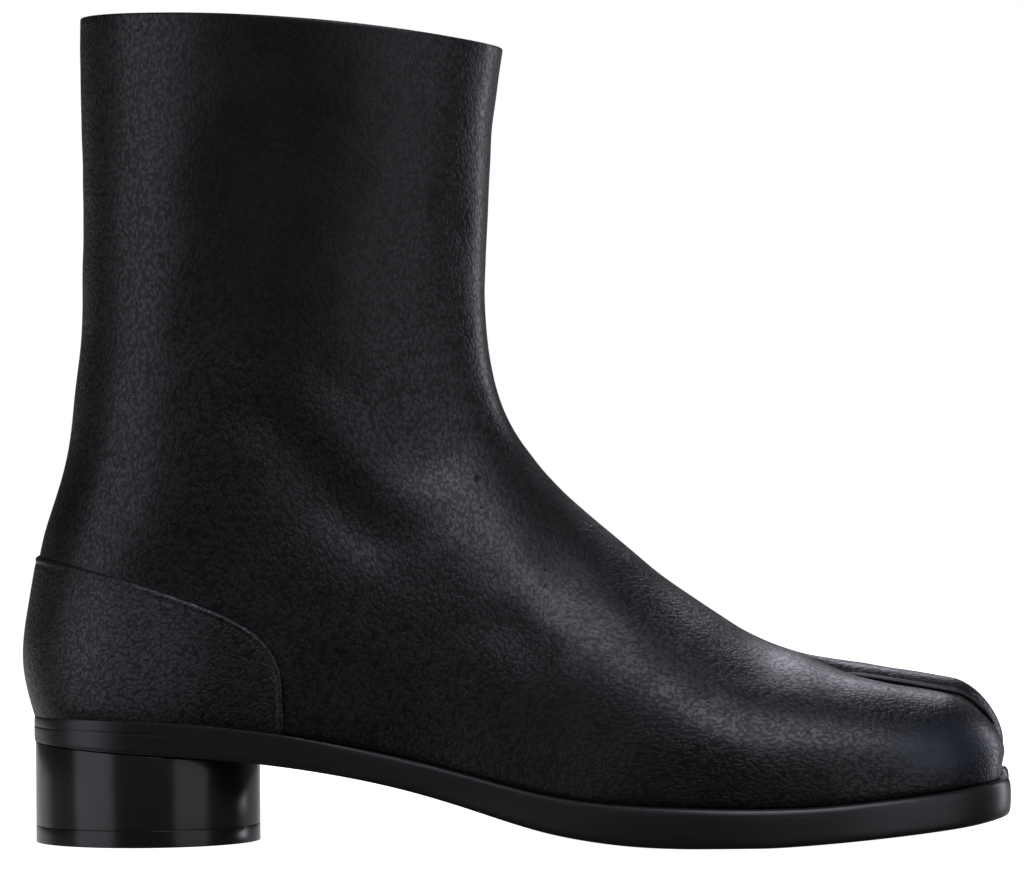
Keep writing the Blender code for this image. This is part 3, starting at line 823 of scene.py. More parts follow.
FOLDS = (
    # Ankle, outer side: the main trough, the roll beside it and the small ones round it
    Fold(Side.LATERAL, ((58, 130.0), (79.8, 113.2), (98.5, 90.7), (119.5, 84.7)), 1.2, 8.0),
    Fold(Side.LATERAL, ((82.0, 124.0), (96.0, 111.0), (111.0, 99.0), (126.0, 95.0)), -0.6, 8.0),
    Fold(Side.LATERAL, ((62.0, 143.0), (74.2, 135.0)), 0.35, 4.5),
    Fold(Side.LATERAL, ((84.0, 138.0), (98.0, 127.0)), 0.35, 5.0),
    # Vamp dimples
    Fold(Side.LATERAL, ((132.0, 66.0), (142.7, 59.1), (154.0, 50.0)), 0.7, 7.0),
    Fold(Side.LATERAL, ((146.0, 88.0), (156.0, 81.0), (166.0, 71.0)), 0.5, 7.0),
    # Shaft, outer side: the flat hollow down its middle and the fine fold near the front
    Fold(Side.LATERAL, ((72.0, 214.0), (68.0, 186.0), (60.0, 156.0), (58.0, 130.0)), 1.5, 13.0),
    Fold(Side.LATERAL, ((119.0, 186.5), (124.0, 179.0), (128.8, 171.4)), 0.5, 2.6),
    # Inner side: softer ones
    Fold(Side.MEDIAL, ((64, 124.0), (82.0, 110.0), (100.0, 90.0), (117.0, 86.0)), 1.2, 6.5),
    Fold(Side.MEDIAL, ((84.0, 119.0), (107.0, 97.0), (121.0, 93.0)), -0.7, 5.5),
    Fold(Side.MEDIAL, ((72.0, 212.0), (68.0, 180.0), (60.0, 140.0)), 1.2, 13.0),
)


class Shade:
    """A shader value whose Python operators add Math nodes to its tree."""

    def __init__(self, tree: "ShaderTree", socket: bpy.types.NodeSocket) -> None:
        """Wrap an output socket of a tree."""
        self.tree = tree
        self.socket = socket

    def _join(self, operation: str, first: Value, second: Value) -> "Shade":
        """Add a Math node on two values."""
        return self.tree.shade("ShaderNodeMath", {"operation": operation}, {0: first, 1: second})

    def __add__(self, other: Value) -> "Shade":
        """Sum."""
        return self._join("ADD", self, other)

    def __radd__(self, other: Value) -> "Shade":
        """Sum with a plain number first."""
        return self._join("ADD", other, self)

    def __sub__(self, other: Value) -> "Shade":
        """Difference."""
        return self._join("SUBTRACT", self, other)

    def __rsub__(self, other: Value) -> "Shade":
        """Difference from a plain number."""
        return self._join("SUBTRACT", other, self)

    def __mul__(self, other: Value) -> "Shade":
        """Product."""
        return self._join("MULTIPLY", self, other)

    def __rmul__(self, other: Value) -> "Shade":
        """Product with a plain number first."""
        return self._join("MULTIPLY", other, self)

    def __abs__(self) -> "Shade":
        """Size without its sign."""
        return self._join("ABSOLUTE", self, 0.0)

    def step(self, low: float, high: float) -> "Shade":
        """Ease from 0 at one value to 1 at another."""
        settings = {"interpolation_type": "SMOOTHSTEP"}
        return self.tree.shade("ShaderNodeMapRange", settings, {0: self, 1: low, 2: high, 3: 0.0, 4: 1.0})


class ShaderTree:
    """Node tree of one material or of the world."""

    MIX_FACTOR = 0
    MIX_FIRST = 6
    MIX_SECOND = 7
    MIX_RESULT = 2

    def __init__(self, tree: bpy.types.NodeTree) -> None:
        """Take over a node tree."""
        self.tree = tree

    def node(self, kind: str, settings: dict[str, Any], inputs: dict[Any, Any]) -> bpy.types.Node:
        """Add a node.

        Args:
            kind: Blender's type name of the node.
            settings: Properties to set on it.
            inputs: Values or shades for its input sockets, by name or number.

        Returns:
            The node.
        """
        node = self.tree.nodes.new(kind)
        for name, setting in settings.items():
            setattr(node, name, setting)
        for key, value in inputs.items():
            self.feed(node.inputs[key], value)
        return node

    def feed(self, socket: bpy.types.NodeSocket, value: Any) -> None:
        """Set an input socket to a plain value or link a shade to it.

        Args:
            socket: The input socket.
            value: The plain value or the shade.
        """
        if isinstance(value, Shade):
            self.tree.links.new(value.socket, socket)
        else:
            socket.default_value = value

    def shade(self, kind: str, settings: dict[str, Any], inputs: dict[Any, Any], output: Any = 0) -> Shade:
        """Add a node and return one of its outputs.

        Args:
            kind: Blender's type name of the node.
            settings: Properties to set on it.
            inputs: Values or shades for its input sockets.
            output: Name or number of the output.

        Returns:
            The output as a shade.
        """
        return Shade(self, self.node(kind, settings, inputs).outputs[output])

    def place(self) -> Shade:
        """Turn object coordinates into the last's frame.

        Returns:
            The coordinates in mm.
        """
        metres = self.shade("ShaderNodeTexCoord", {}, {}, "Object")
        shifted = self.shade("ShaderNodeVectorMath", {"operation": "SUBTRACT"}, {0: metres, 1: PLACE.origin})
        return self.stretch(shifted, (1 / MM, 1 / MM, 1 / MM))

    def near(self, place: Shade, centre: Triple, reach: Triple, edge: Span) -> Shade:
        """Mark what lies near a centre.

        Args:
            place: Coordinates.
            centre: Centre.
            reach: Reach along each axis.
            edge: Shares of the reach between which the mark fades out.

        Returns:
            1 near the centre, 0 past the edge.
        """
        shifted = self.shade("ShaderNodeVectorMath", {"operation": "SUBTRACT"}, {0: place, 1: centre})
        scaled = self.shade("ShaderNodeVectorMath", {"operation": "DIVIDE"}, {0: shifted, 1: reach})
        away = self.shade("ShaderNodeVectorMath", {"operation": "LENGTH"}, {0: scaled}, "Value")
        return 1.0 - away.step(*edge)

    def stretch(self, place: Shade, factors: Triple) -> Shade:
        """Scale coordinates along each axis."""
        return self.shade("ShaderNodeVectorMath", {"operation": "MULTIPLY"}, {0: place, 1: factors})

    def axes(self, place: Shade) -> tuple[Shade, Shade, Shade]:
        """x, y and z of coordinates."""
        node = self.node("ShaderNodeSeparateXYZ", {}, {0: place})
        return tuple(Shade(self, output) for output in node.outputs)

    def noise(self, place: Shade, scale: float, detail: float = 2.0, roughness: float = 0.5) -> Shade:
        """Soft noise from 0 to 1.

        Args:
            place: Coordinates.
            scale: Features per mm.
            detail: Number of finer layers.
            roughness: How strong the finer layers are.

        Returns:
            The noise.
        """
        inputs = {"Vector": place, "Scale": scale, "Detail": detail, "Roughness": roughness}
        return self.shade("ShaderNodeTexNoise", {}, inputs, 0)

    def warp(self, place: Shade, scale: float, reach: float) -> Shade:
        """Push coordinates about softly.

        Args:
            place: Coordinates.
            scale: Features per mm.
            reach: Farthest push in mm.

        Returns:
            The pushed coordinates.
        """
        push = self.shade("ShaderNodeTexNoise", {}, {"Vector": place, "Scale": scale, "Detail": 1.0}, "Color")
        settings = {"operation": "MULTIPLY_ADD"}
        return self.shade("ShaderNodeVectorMath", settings, {0: push, 1: (reach, reach, reach), 2: place})

    def dots(self, place: Shade, scale: float) -> Shade:
        """Distance to scattered points, in steps of their spacing."""
        return self.shade("ShaderNodeTexVoronoi", {}, {"Vector": place, "Scale": scale}, "Distance")

    def mix(self, share: Value, first: Any, second: Any) -> Shade:
        """Mix two colours.

        Args:
            share: Share of the second colour.
            first: A colour or a shade.
            second: A colour or a shade.

        Returns:
            The mixed colour.
        """
        colours = [value if isinstance(value, Shade) else (*value, 1.0) for value in (first, second)]
        inputs = {self.MIX_FACTOR: share, self.MIX_FIRST: colours[0], self.MIX_SECOND: colours[1]}
        return self.shade("ShaderNodeMix", {"data_type": "RGBA"}, inputs, self.MIX_RESULT)

    def bump(self, height: Shade, distance: float) -> Shade:
        """Bend the surface normal by a height.

        Args:
            height: Height from 0 to 1.
            distance: Size of a full height in mm.

        Returns:
            The bent normal.
        """
        inputs = {"Height": height, "Distance": distance * MM, "Strength": 1.0}
        return self.shade("ShaderNodeBump", {}, inputs)


@dataclass(frozen=True)
class Finish:
    """What all finishes share.

    Attributes:
        colour: Base colour.
        roughness: Middle roughness.
    """

    colour: Colour
    roughness: float

    def paint(self, tree: ShaderTree, shader: bpy.types.Node) -> None:
        """Feed the shader's sockets; each finish has its own way."""
        raise NotImplementedError

    def material(self, name: str) -> bpy.types.Material:
        """Make the material.

        Args:
            name: Its name.

        Returns:
            The material.
        """
        material = bpy.data.materials.new(name)
        material.use_nodes = True
        shader = material.node_tree.nodes["Principled BSDF"]
        self.paint(ShaderTree(material.node_tree), shader)
        return material

    def tones(self, share: float) -> tuple[Colour, Colour]:
        """A darker and a lighter tone of the base colour."""
        return tuple(tuple(part * factor for part in self.colour) for factor in (1 - share, 1 + share))

    def wander(self, value: Shade, spread: float) -> Shade:
        """Roughness that follows a value from 0 to 1 over a spread round its middle."""
        return self.roughness + (value - MIDDLE) * spread


@dataclass(frozen=True)
class GrainLeather(Finish):
    """Fine-grained leather with a polish that wears off in the lines of its grain, and one area of painted
    light, where the grain can also be smoothed.

    Attributes:
        pebble: Size of the grain's pebbles in mm.
        depth: Depth of the grain in mm.
        polish: Share of polish on the pebbles.
        polish_roughness: Roughness of the polish.
        shine: Strength of the shine under the polish.
        shaft_stretch: How the grain is drawn out along each axis behind the vamp.
        patch_colour: Colour of the area of painted light.
        patch_centre: Middle of the area of painted light.
        patch_reach: Reach of the area of painted light along each axis.
        patch_smooth: How far the grain is smoothed away there.
    """

    pebble: float = 1.05
    depth: float = 0.1
    polish: float = 0.55
    polish_roughness: float = 0.31
    shine: float = 0.26
    shaft_stretch: Triple = (0.95, 0.95, 0.68)
    patch_colour: Colour = (0.0030, 0.0100, 0.0230)
    patch_centre: Triple = (263.0, -35.0, 27.0)
    patch_reach: Triple = (23.0, 24.0, 11.0)
    patch_smooth: float = 0.7

    # Frayed pebbles, crossed by wrinkles
    PEBBLE_EDGE = (0.25, 0.8)
    FRAY_SPACING = 0.5
    FRAY = 0.7
    WRINKLE_SPACING = 3.0
    WRINKLE_EDGE = (0.0, 0.06)
    WRINKLE_SHARE = 0.4
    GRAIN_LAYERS = 0.6
    WARP_SPACING = 6.0
    WARP_REACH = 2.4
    # The grain is drawn out another way on the vamp, and it is calmer on the shaft
    VAMP = (120.0, 190.0)
    VAMP_STRETCH = (0.66, 0.95, 1.1)
    CALM_CENTRE = (85.0, 0.0, 200.0)
    CALM_REACH = (52.0, 300.0, 90.0)
    CALM_EDGE = (0.4, 1.0)
    CALM = 0.55
    MEAN_GRAIN = 0.4
    # Pores, and one small scar at the ankle
    PORE_SPACING = 3.1
    PORE_EDGE = (0.065, 0.13)
    SCAR_CENTRE = (131.7, -26.0, 103.8)
    SCAR_REACH = (1.5, 30.0, 1.5)
    SCAR_EDGE = (0.3, 1.0)
    # Colour, roughness and polish
    CLOUDS = (0.05, 4.0, 0.6)
    TONE = 0.3
    # Edges and strength of the painted light's colour
    PATCH_EDGE = (0.35, 1.0)
    PATCH_COVER = 0.85
    LINE_DARK = 0.6
    PIT_DARK = 0.6
    SPREAD = 0.2
    PIT_ROUGHNESS = 0.2
    LINE_POLISH = 0.12
    MOTTLE = 0.6
    PIT_POLISH_LOSS = 0.8

    def pebbles(self, tree: ShaderTree, place: Shade, stretch: Triple) -> Shade:
        """Draw out frayed pebbles, crossed by fine wrinkles.

        Args:
            tree: The material's tree.
            place: Coordinates, pushed about softly.
            stretch: How the grain is drawn out along each axis.

        Returns:
            1 on the pebbles, towards 0 between them and in the wrinkles.
        """
        drawn = tree.stretch(place, stretch)
        fray = (tree.noise(drawn, 1.0 / self.FRAY_SPACING, self.GRAIN_LAYERS) - MIDDLE) * self.FRAY
        pebbles = 1.0 - (tree.dots(drawn, 1.0 / self.pebble) + fray).step(*self.PEBBLE_EDGE)
        waves = tree.noise(drawn, 1.0 / self.WRINKLE_SPACING, self.GRAIN_LAYERS)
        wrinkles = abs(waves - MIDDLE).step(*self.WRINKLE_EDGE)
        return pebbles * ((1.0 - self.WRINKLE_SHARE) + wrinkles * self.WRINKLE_SHARE)

    def grain(self, tree: ShaderTree, place: Shade, pushed: Shade) -> Shade:
        """Lead the grain over from the calm shaft to the vamp.

        Args:
            tree: The material's tree.
            place: Coordinates.
            pushed: Coordinates, pushed about softly.

        Returns:
            1 on the pebbles, towards 0 between them and in the wrinkles.
        """
        vamp = tree.axes(place)[0].step(*self.VAMP)
        calm = tree.near(place, self.CALM_CENTRE, self.CALM_REACH, self.CALM_EDGE) * self.CALM
        on_shaft = self.pebbles(tree, pushed, self.shaft_stretch)
        on_vamp = self.pebbles(tree, pushed, self.VAMP_STRETCH)
        calmed = on_shaft + (self.MEAN_GRAIN - on_shaft) * calm
        return calmed + (on_vamp - calmed) * vamp

    def paint(self, tree: ShaderTree, shader: bpy.types.Node) -> None:
        """Feed colour, roughness, polish and grain.

        Args:
            tree: The material's tree.
            shader: Its Principled BSDF.
        """
        place = tree.place()
        pushed = tree.warp(place, 1.0 / self.WARP_SPACING, self.WARP_REACH)
        clouds = tree.noise(place, *self.CLOUDS)
        # Painted light: a soft area whose colour stands in for light, a painted reflection on the upper's toe
        # and a painted highlight on the counter
        painted_light = tree.near(place, self.patch_centre, self.patch_reach, self.PATCH_EDGE)
        smooth = painted_light * self.patch_smooth
        grain = self.grain(tree, place, pushed) * (1.0 - smooth) + smooth
        pores = 1.0 - tree.dots(pushed, 1.0 / self.PORE_SPACING).step(*self.PORE_EDGE)
        scar = tree.near(place, self.SCAR_CENTRE, self.SCAR_REACH, self.SCAR_EDGE)
        pits = (pores + scar) * (1.0 - smooth)
        skin = tree.mix(clouds, *self.tones(self.TONE))
        # The painted light's colour is mixed over the leather's own tones here
        painted_light_skin = tree.mix(painted_light * self.PATCH_COVER, skin, self.patch_colour)
        dark = pits * self.PIT_DARK + (1.0 - grain) * self.LINE_DARK
        tree.feed(shader.inputs["Base Color"], tree.mix(dark, painted_light_skin, BLACK))
        roughness = self.wander(clouds, self.SPREAD) + pits * self.PIT_ROUGHNESS
        tree.feed(shader.inputs["Roughness"], roughness)
        mottle = (1.0 + (clouds - MIDDLE) * self.MOTTLE) * (1.0 - pits * self.PIT_POLISH_LOSS)
        polish = (self.LINE_POLISH + grain * (1.0 - self.LINE_POLISH)) * mottle
        tree.feed(shader.inputs["Coat Weight"], polish * self.polish)
        shader.inputs["Coat Roughness"].default_value = self.polish_roughness
        shader.inputs["Specular IOR Level"].default_value = self.shine
        tree.feed(shader.inputs["Normal"], tree.bump((grain - pits) * self.depth, 1.0))


@dataclass(frozen=True)
class PlainLeather(Finish):
    """Matt lining or insole leather with a soft nap."""

    CLOUDS = (0.06, 3.0)
    TONE = 0.35
    SPREAD = 0.1
    NAP_SCALE = 1.4
    NAP_DEPTH = 0.08

    def paint(self, tree: ShaderTree, shader: bpy.types.Node) -> None:
        """Feed colour, roughness and nap.

        Args:
            tree: The material's tree.
            shader: Its Principled BSDF.
        """
        place = tree.place()
        clouds = tree.noise(place, *self.CLOUDS)
        nap = tree.noise(place, self.NAP_SCALE)
        tree.feed(shader.inputs["Base Color"], tree.mix(clouds, *self.tones(self.TONE)))
        tree.feed(shader.inputs["Roughness"], self.wander(clouds, self.SPREAD))
        tree.feed(shader.inputs["Normal"], tree.bump(nap, self.NAP_DEPTH))


@dataclass(frozen=True)
class EdgeInk(Finish):
    """Inked and waxed sole leather, with faint lines along its edge."""

    CLOUDS = (0.07, 3.0)
    TONE = 0.3
    SPREAD = 0.14
    LINE_STRETCH = (0.03, 0.03, 0.9)
    LINE_SHARE = 0.7
    DEPTH = 0.05

    def paint(self, tree: ShaderTree, shader: bpy.types.Node) -> None:
        """Feed colour, roughness and lines.

        Args:
            tree: The material's tree.
            shader: Its Principled BSDF.
        """
        place = tree.place()
        lines = tree.noise(tree.stretch(place, self.LINE_STRETCH), 1.0)
        clouds = tree.noise(place, *self.CLOUDS)
        relief = lines * self.LINE_SHARE + clouds * (1.0 - self.LINE_SHARE)
        tree.feed(shader.inputs["Base Color"], tree.mix(clouds, *self.tones(self.TONE)))
        tree.feed(shader.inputs["Roughness"], self.wander(lines, self.SPREAD))
        tree.feed(shader.inputs["Normal"], tree.bump(relief, self.DEPTH))


@dataclass(frozen=True)
class Lacquer(Finish):
    """Smooth dark lacquer with a slight unevenness under its gloss."""

    CLOUDS = (0.045, 3.0)
    TONE = 0.3
    SPREAD = 0.08
    WAVES = (0.13, 1.0)
    DEPTH = 0.05
    SHINE = 0.42

    def paint(self, tree: ShaderTree, shader: bpy.types.Node) -> None:
        """Feed colour, roughness and unevenness.

        Args:
            tree: The material's tree.
            shader: Its Principled BSDF.
        """
        place = tree.place()
        clouds = tree.noise(place, *self.CLOUDS)
        waves = tree.noise(place, *self.WAVES)
        tree.feed(shader.inputs["Base Color"], tree.mix(clouds, *self.tones(self.TONE)))
        tree.feed(shader.inputs["Roughness"], self.wander(clouds, self.SPREAD))
        shader.inputs["Specular IOR Level"].default_value = self.SHINE
        tree.feed(shader.inputs["Normal"], tree.bump(waves, self.DEPTH))


@dataclass(frozen=True)
class Rubber(Finish):
    """Polished black rubber with a fine tooth."""

    TONE = 0.25
    SPREAD = 0.12
    TOOTH_SCALE = 1.5
    DEPTH = 0.02
    SHINE = 0.4

    def paint(self, tree: ShaderTree, shader: bpy.types.Node) -> None:
        """Feed colour, roughness and tooth.

        Args:
            tree: The material's tree.
            shader: Its Principled BSDF.
        """
        tooth = tree.noise(tree.place(), self.TOOTH_SCALE)
        tree.feed(shader.inputs["Base Color"], tree.mix(tooth, *self.tones(self.TONE)))
        tree.feed(shader.inputs["Roughness"], self.wander(tooth, self.SPREAD))
        shader.inputs["Specular IOR Level"].default_value = self.SHINE
        tree.feed(shader.inputs["Normal"], tree.bump(tooth, self.DEPTH))


@dataclass(frozen=True)
class Thread(Finish):
    """Waxed sewing thread."""

    TONE = 0.4
    SPREAD = 0.2
    STRAND_SCALE = 3.0

    def paint(self, tree: ShaderTree, shader: bpy.types.Node) -> None:
        """Feed colour and roughness.

        Args:
            tree: The material's tree.
            shader: Its Principled BSDF.
        """
        strands = tree.noise(tree.place(), self.STRAND_SCALE)
        tree.feed(shader.inputs["Base Color"], tree.mix(strands, *self.tones(self.TONE)))
        tree.feed(shader.inputs["Roughness"], self.wander(strands, self.SPREAD))


@dataclass(frozen=True)
class PaleFloor(Finish):
    """Plain pale studio floor, lit through from below.

    Attributes:
        glow: Strength of the light that comes through it.
    """

    glow: float = 1.0

    TONE = 0.01
    SPREAD = 0.05
    CLOUD_SCALE = 0.003

    def paint(self, tree: ShaderTree, shader: bpy.types.Node) -> None:
        """Feed colour, roughness and glow.

        Args:
            tree: The material's tree.
            shader: Its Principled BSDF.
        """
        clouds = tree.noise(tree.place(), self.CLOUD_SCALE)
        tree.feed(shader.inputs["Base Color"], tree.mix(clouds, *self.tones(self.TONE)))
        tree.feed(shader.inputs["Roughness"], self.wander(clouds, self.SPREAD))
        shader.inputs["Emission Color"].default_value = WHITE
        shader.inputs["Emission Strength"].default_value = self.glow


# The upper's painted light is a bluish painted reflection on the outer side of the toe, where the grain is
# also smoothed
UPPER_LEATHER = GrainLeather((0.0036, 0.0037, 0.0050), 0.44)
# The counter's painted light is a painted highlight: lighter colour where the light falls round the heel,
# with the grain left as it is
COUNTER_LEATHER = GrainLeather((0.0040, 0.0040, 0.0050), 0.46, pebble=0.95, depth=0.16, polish=0.55,
                               polish_roughness=0.36, shaft_stretch=(1.0, 1.0, 0.85),
                               patch_colour=(0.0520, 0.0520, 0.0560), patch_centre=(34.0, 0.0, 57.0),
                               patch_reach=(30.0, 100.0, 34.0), patch_smooth=0.0)
SEAM_LEATHER = PlainLeather((0.0060, 0.0060, 0.0070), 0.36)
LINING_LEATHER = PlainLeather((0.018, 0.017, 0.016), 0.62)
INSOLE_LEATHER = PlainLeather((0.022, 0.020, 0.018), 0.6)
SOLE_EDGE_INK = EdgeInk((0.007, 0.007, 0.0078), 0.36)
HEEL_LACQUER = Lacquer((0.0135, 0.0112, 0.0102), 0.2)
LIFT_RUBBER = Rubber((0.0100, 0.0092, 0.0088), 0.21)
SEAM_THREAD = Thread((0.010, 0.010, 0.012), 0.5)
FLOOR_PAINT = PaleFloor((0.88, 0.88, 0.88), 0.6)


@dataclass(frozen=True)
class Piece:
    """How a mesh becomes a piece of the boot.

    Attributes:
        name: Piece name.
        slot: Material slot of the record; not used.
        finishes: Finish of each material slot.
        node: CAD node that the piece stands for, empty if none.
        sharp: Angle over which edges stay sharp, in radians.
    """

    name: str
    slot: str
    finishes: tuple[Finish, ...]
    node: str = ""
    sharp: float = SHARP_ANGLE

    def make(self, mesh: bmesh.types.BMesh) -> bpy.types.Object:
        """Turn a mesh into the piece.

        Args:
            mesh: The finished mesh; it is freed here.

        Returns:
            The piece, riding on the boot.
        """
        data = bpy.data.meshes.new(self.name)
        mesh.to_mesh(data)
        mesh.free()
        for number, finish in enumerate(self.finishes):
            data.materials.append(finish.material(f"{self.name}_{number}"))
        data.shade_smooth()
        data.set_sharp_from_angle(angle=self.sharp)
        piece = bpy.data.objects.new(self.name, data)
        bpy.context.scene.collection.objects.link(piece)
        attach(piece, BODY)
        if self.node:
            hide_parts(self.node)
        return piece


def grid_sheet(rows: Array, split_rows: int, place: LastFrame) -> bmesh.types.BMesh:
    """Bend a grid onto rows of points, and open the cleft over the first rows.

    Args:
        rows: Points by row and column, in the last's frame.
        split_rows: Last row of the cleft; below zero for no cleft.
        place: Where the last's frame lies.

    Returns:
        The open sheet.
    """
    mesh = bmesh.new()
    last_row = rows.shape[0] - 1
    last_column = rows.shape[1] - 1
    bmesh.ops.create_grid(mesh, x_segments=last_row, y_segments=last_column, size=1)
    spot = {}
    for vert in mesh.verts:
        spot[vert] = round((vert.co.x + 1) / 2 * last_row), round((vert.co.y + 1) / 2 * last_column)
    middle = last_column // 2
    cleft = []
    for face in mesh.faces:
        spots = [spot[vert] for vert in face.verts]
        if all(row <= split_rows and column in (middle, middle + 1) for row, column in spots):
            cleft.append(face)
    for vert, (row, column) in spot.items():
        vert.co = place.out(rows[row, column])
    bmesh.ops.delete(mesh, geom=cleft, context="FACES")
    bmesh.ops.remove_doubles(mesh, verts=mesh.verts, dist=MERGE)
    bmesh.ops.dissolve_degenerate(mesh, edges=mesh.edges, dist=MERGE)
    return mesh


def face_outward(mesh: bmesh.types.BMesh) -> None:
    """Make all faces agree and look out, as the outermost one on the little-toe side does.

    Args:
        mesh: The mesh.
    """
    bmesh.ops.recalc_face_normals(mesh, faces=mesh.faces)
    probe = min(mesh.faces, key=lambda face: face.calc_center_median().y)
    if probe.normal.y > 0:
        bmesh.ops.reverse_faces(mesh, faces=mesh.faces)
    mesh.normal_update()


def spot_key(point: Vector) -> tuple[float, float, float]:
    """Key of a place, for finding the twin of a vertex."""
    return tuple(round(part, PLACE_DIGITS) for part in point)


def second_skin(mesh: bmesh.types.BMesh) -> tuple[list[Any], set[Any]]:
    """Extrude all faces of a sheet where they lie and keep the first ones.

    Args:
        mesh: The sheet.

    Returns:
        The new vertices, and the new faces that lie on the first ones.
    """
    drawn = bmesh.ops.extrude_face_region(mesh, geom=list(mesh.faces), use_keep_orig=True)["geom"]
    verts = [item for item in drawn if isinstance(item, bmesh.types.BMVert)]
    faces = {item for item in drawn if isinstance(item, bmesh.types.BMFace)}
    return verts, faces


def round_edges(mesh: bmesh.types.BMesh, edges: list[Any], radius: float, segments: int) -> None:
    """Round edges of a mesh.

    Args:
        mesh: The mesh.
        edges: Its edges to round.
        radius: Radius in mm.
        segments: Steps round each edge.
    """
    bmesh.ops.bevel(mesh, geom=edges, offset=radius * MM, offset_type="OFFSET", segments=segments,
                    profile=0.5, affect="EDGES", material=-1, clamp_overlap=True)


def thicken(mesh: bmesh.types.BMesh, depth: float, slot: int) -> list[Any]:
    """Give an open sheet a wall on its inner side.

    Args:
        mesh: The sheet, with its faces looking out.
        depth: Thickness of the wall in mm.
        slot: Material slot of the inner skin.

    Returns:
        The faces of the rim.
    """
    inward = {}
    for vert in mesh.verts:
        stretch = min(MAX_SHELL_STRETCH, vert.calc_shell_factor())
        inward[spot_key(vert.co)] = -vert.normal * stretch * depth * MM
    outer = set(mesh.faces)
    inner_verts, inner_faces = second_skin(mesh)
    rim = [face for face in mesh.faces if face not in outer and face not in inner_faces]
    for face in inner_faces:
        face.material_index = slot
    for vert in inner_verts:
        vert.co += inward[spot_key(vert.co)]
    bmesh.ops.recalc_face_normals(mesh, faces=mesh.faces)
    return rim


@dataclass
class Upper:
    """Vamp, quarters and shaft in one skin of leather, with its lining and its rolled collar edge.

    Attributes:
        last: Shape of the boot.
        place: Where the last's frame lies.
        columns: Grid columns of each half.
        lobe_rows: Grid rows of the toe lobes.
        crotch_rows: Grid rows just behind the crotch of the split.
        runs: First row, last row and number of grid rows of each stretch of the section table.
        wall: Thickness of leather and lining.
        collar_round: Radius of the collar's edges.
        collar_steps: Steps round each of them.
        folds: Folds in the leather.
        swells: Spacing and height of each layer of its unevenness.
    """

    last: Last
    place: LastFrame
    columns: int = 84
    lobe_rows: int = 40
    crotch_rows: int = 13
    runs: tuple[tuple[float, float, int], ...] = ((2, 11, 63), (11, 13, 28), (13, 17, 32), (17, 22, 45))
    wall: float = 1.8
    collar_round: float = 0.6
    collar_steps: int = 3
    folds: tuple[Fold, ...] = FOLDS
    swells: tuple[Span, ...] = ((24.0, 0.5), (10.0, 0.16))

    def row_numbers(self) -> Array:
        """Spread the grid rows over the section table.

        Returns:
            Their places in the table, from the crotch to the collar.
        """
        crotch = CROTCH_ROW + np.linspace(0.0, 1.0, self.crotch_rows, endpoint=False) ** 2
        spans = [np.linspace(first, last, count, endpoint=False) for first, last, count in self.runs]
        return np.concatenate((crotch, *spans, [self.runs[-1][1]]))

    def rows(self) -> Array:
        """Draw the upper's outside.

        Returns:
            Its points by row and column.
        """
        last = self.last
        lobes = [[last.lobe_half(share, side) for side in Side] for share in lobe_shares(self.lobe_rows)]
        bodies = [[last.body_half(float(row), side) for side in Side] for row in self.row_numbers()]
        return np.array([last.section_row(halves, self.columns) for halves in lobes + bodies])

    def unevenness(self, points: Array) -> Array:
        """Soft rise and fall of leather that was lasted by hand."""
        return sum(height * np.array([soft_noise(Vector(point) / spacing) for point in points])
                   for spacing, height in self.swells)

    def crease(self, mesh: bmesh.types.BMesh) -> None:
        """Sink the folds into the leather and make it softly uneven.

        Args:
            mesh: The upper's outside.
        """
        verts = list(mesh.verts)
        points = self.place.back(np.array([vert.co for vert in verts]))
        depth = sum(fold.sink(points) for fold in self.folds) + self.unevenness(points)
        for vert, sink in zip(verts, depth):
            vert.co -= vert.normal * float(sink) * MM
        mesh.normal_update()

    def roll_collar(self, mesh: bmesh.types.BMesh, rim: list[Any], collar: set[Any]) -> None:
        """Round both edges of the collar.

        Args:
            mesh: The thickened upper.
            rim: Faces of its rim.
            collar: The collar's outer vertices.
        """
        top = {face for face in rim if sum(vert in collar for vert in face.verts) == 2}
        edges = [edge for edge in mesh.edges if sum(face in top for face in edge.link_faces) == 1]
        round_edges(mesh, edges, self.collar_round, self.collar_steps)

    def build(self) -> list[bpy.types.Object]:
        """Make the upper.

        Returns:
            Its one piece.
        """
        rows = self.rows()
        mesh = grid_sheet(rows, self.lobe_rows, self.place)
        face_outward(mesh)
        top_row = {spot_key(self.place.out(point)) for point in rows[-1]}
        collar = [vert for vert in mesh.verts if spot_key(vert.co) in top_row]
        self.crease(mesh)
        rim = thicken(mesh, self.wall, Leather.LINING)
        self.roll_collar(mesh, rim, set(collar))
        finishes = (UPPER_LEATHER, LINING_LEATHER)
        return [Piece("upper_skin", "upper_leather", finishes, "upper", SOFT_ANGLE).make(mesh)]


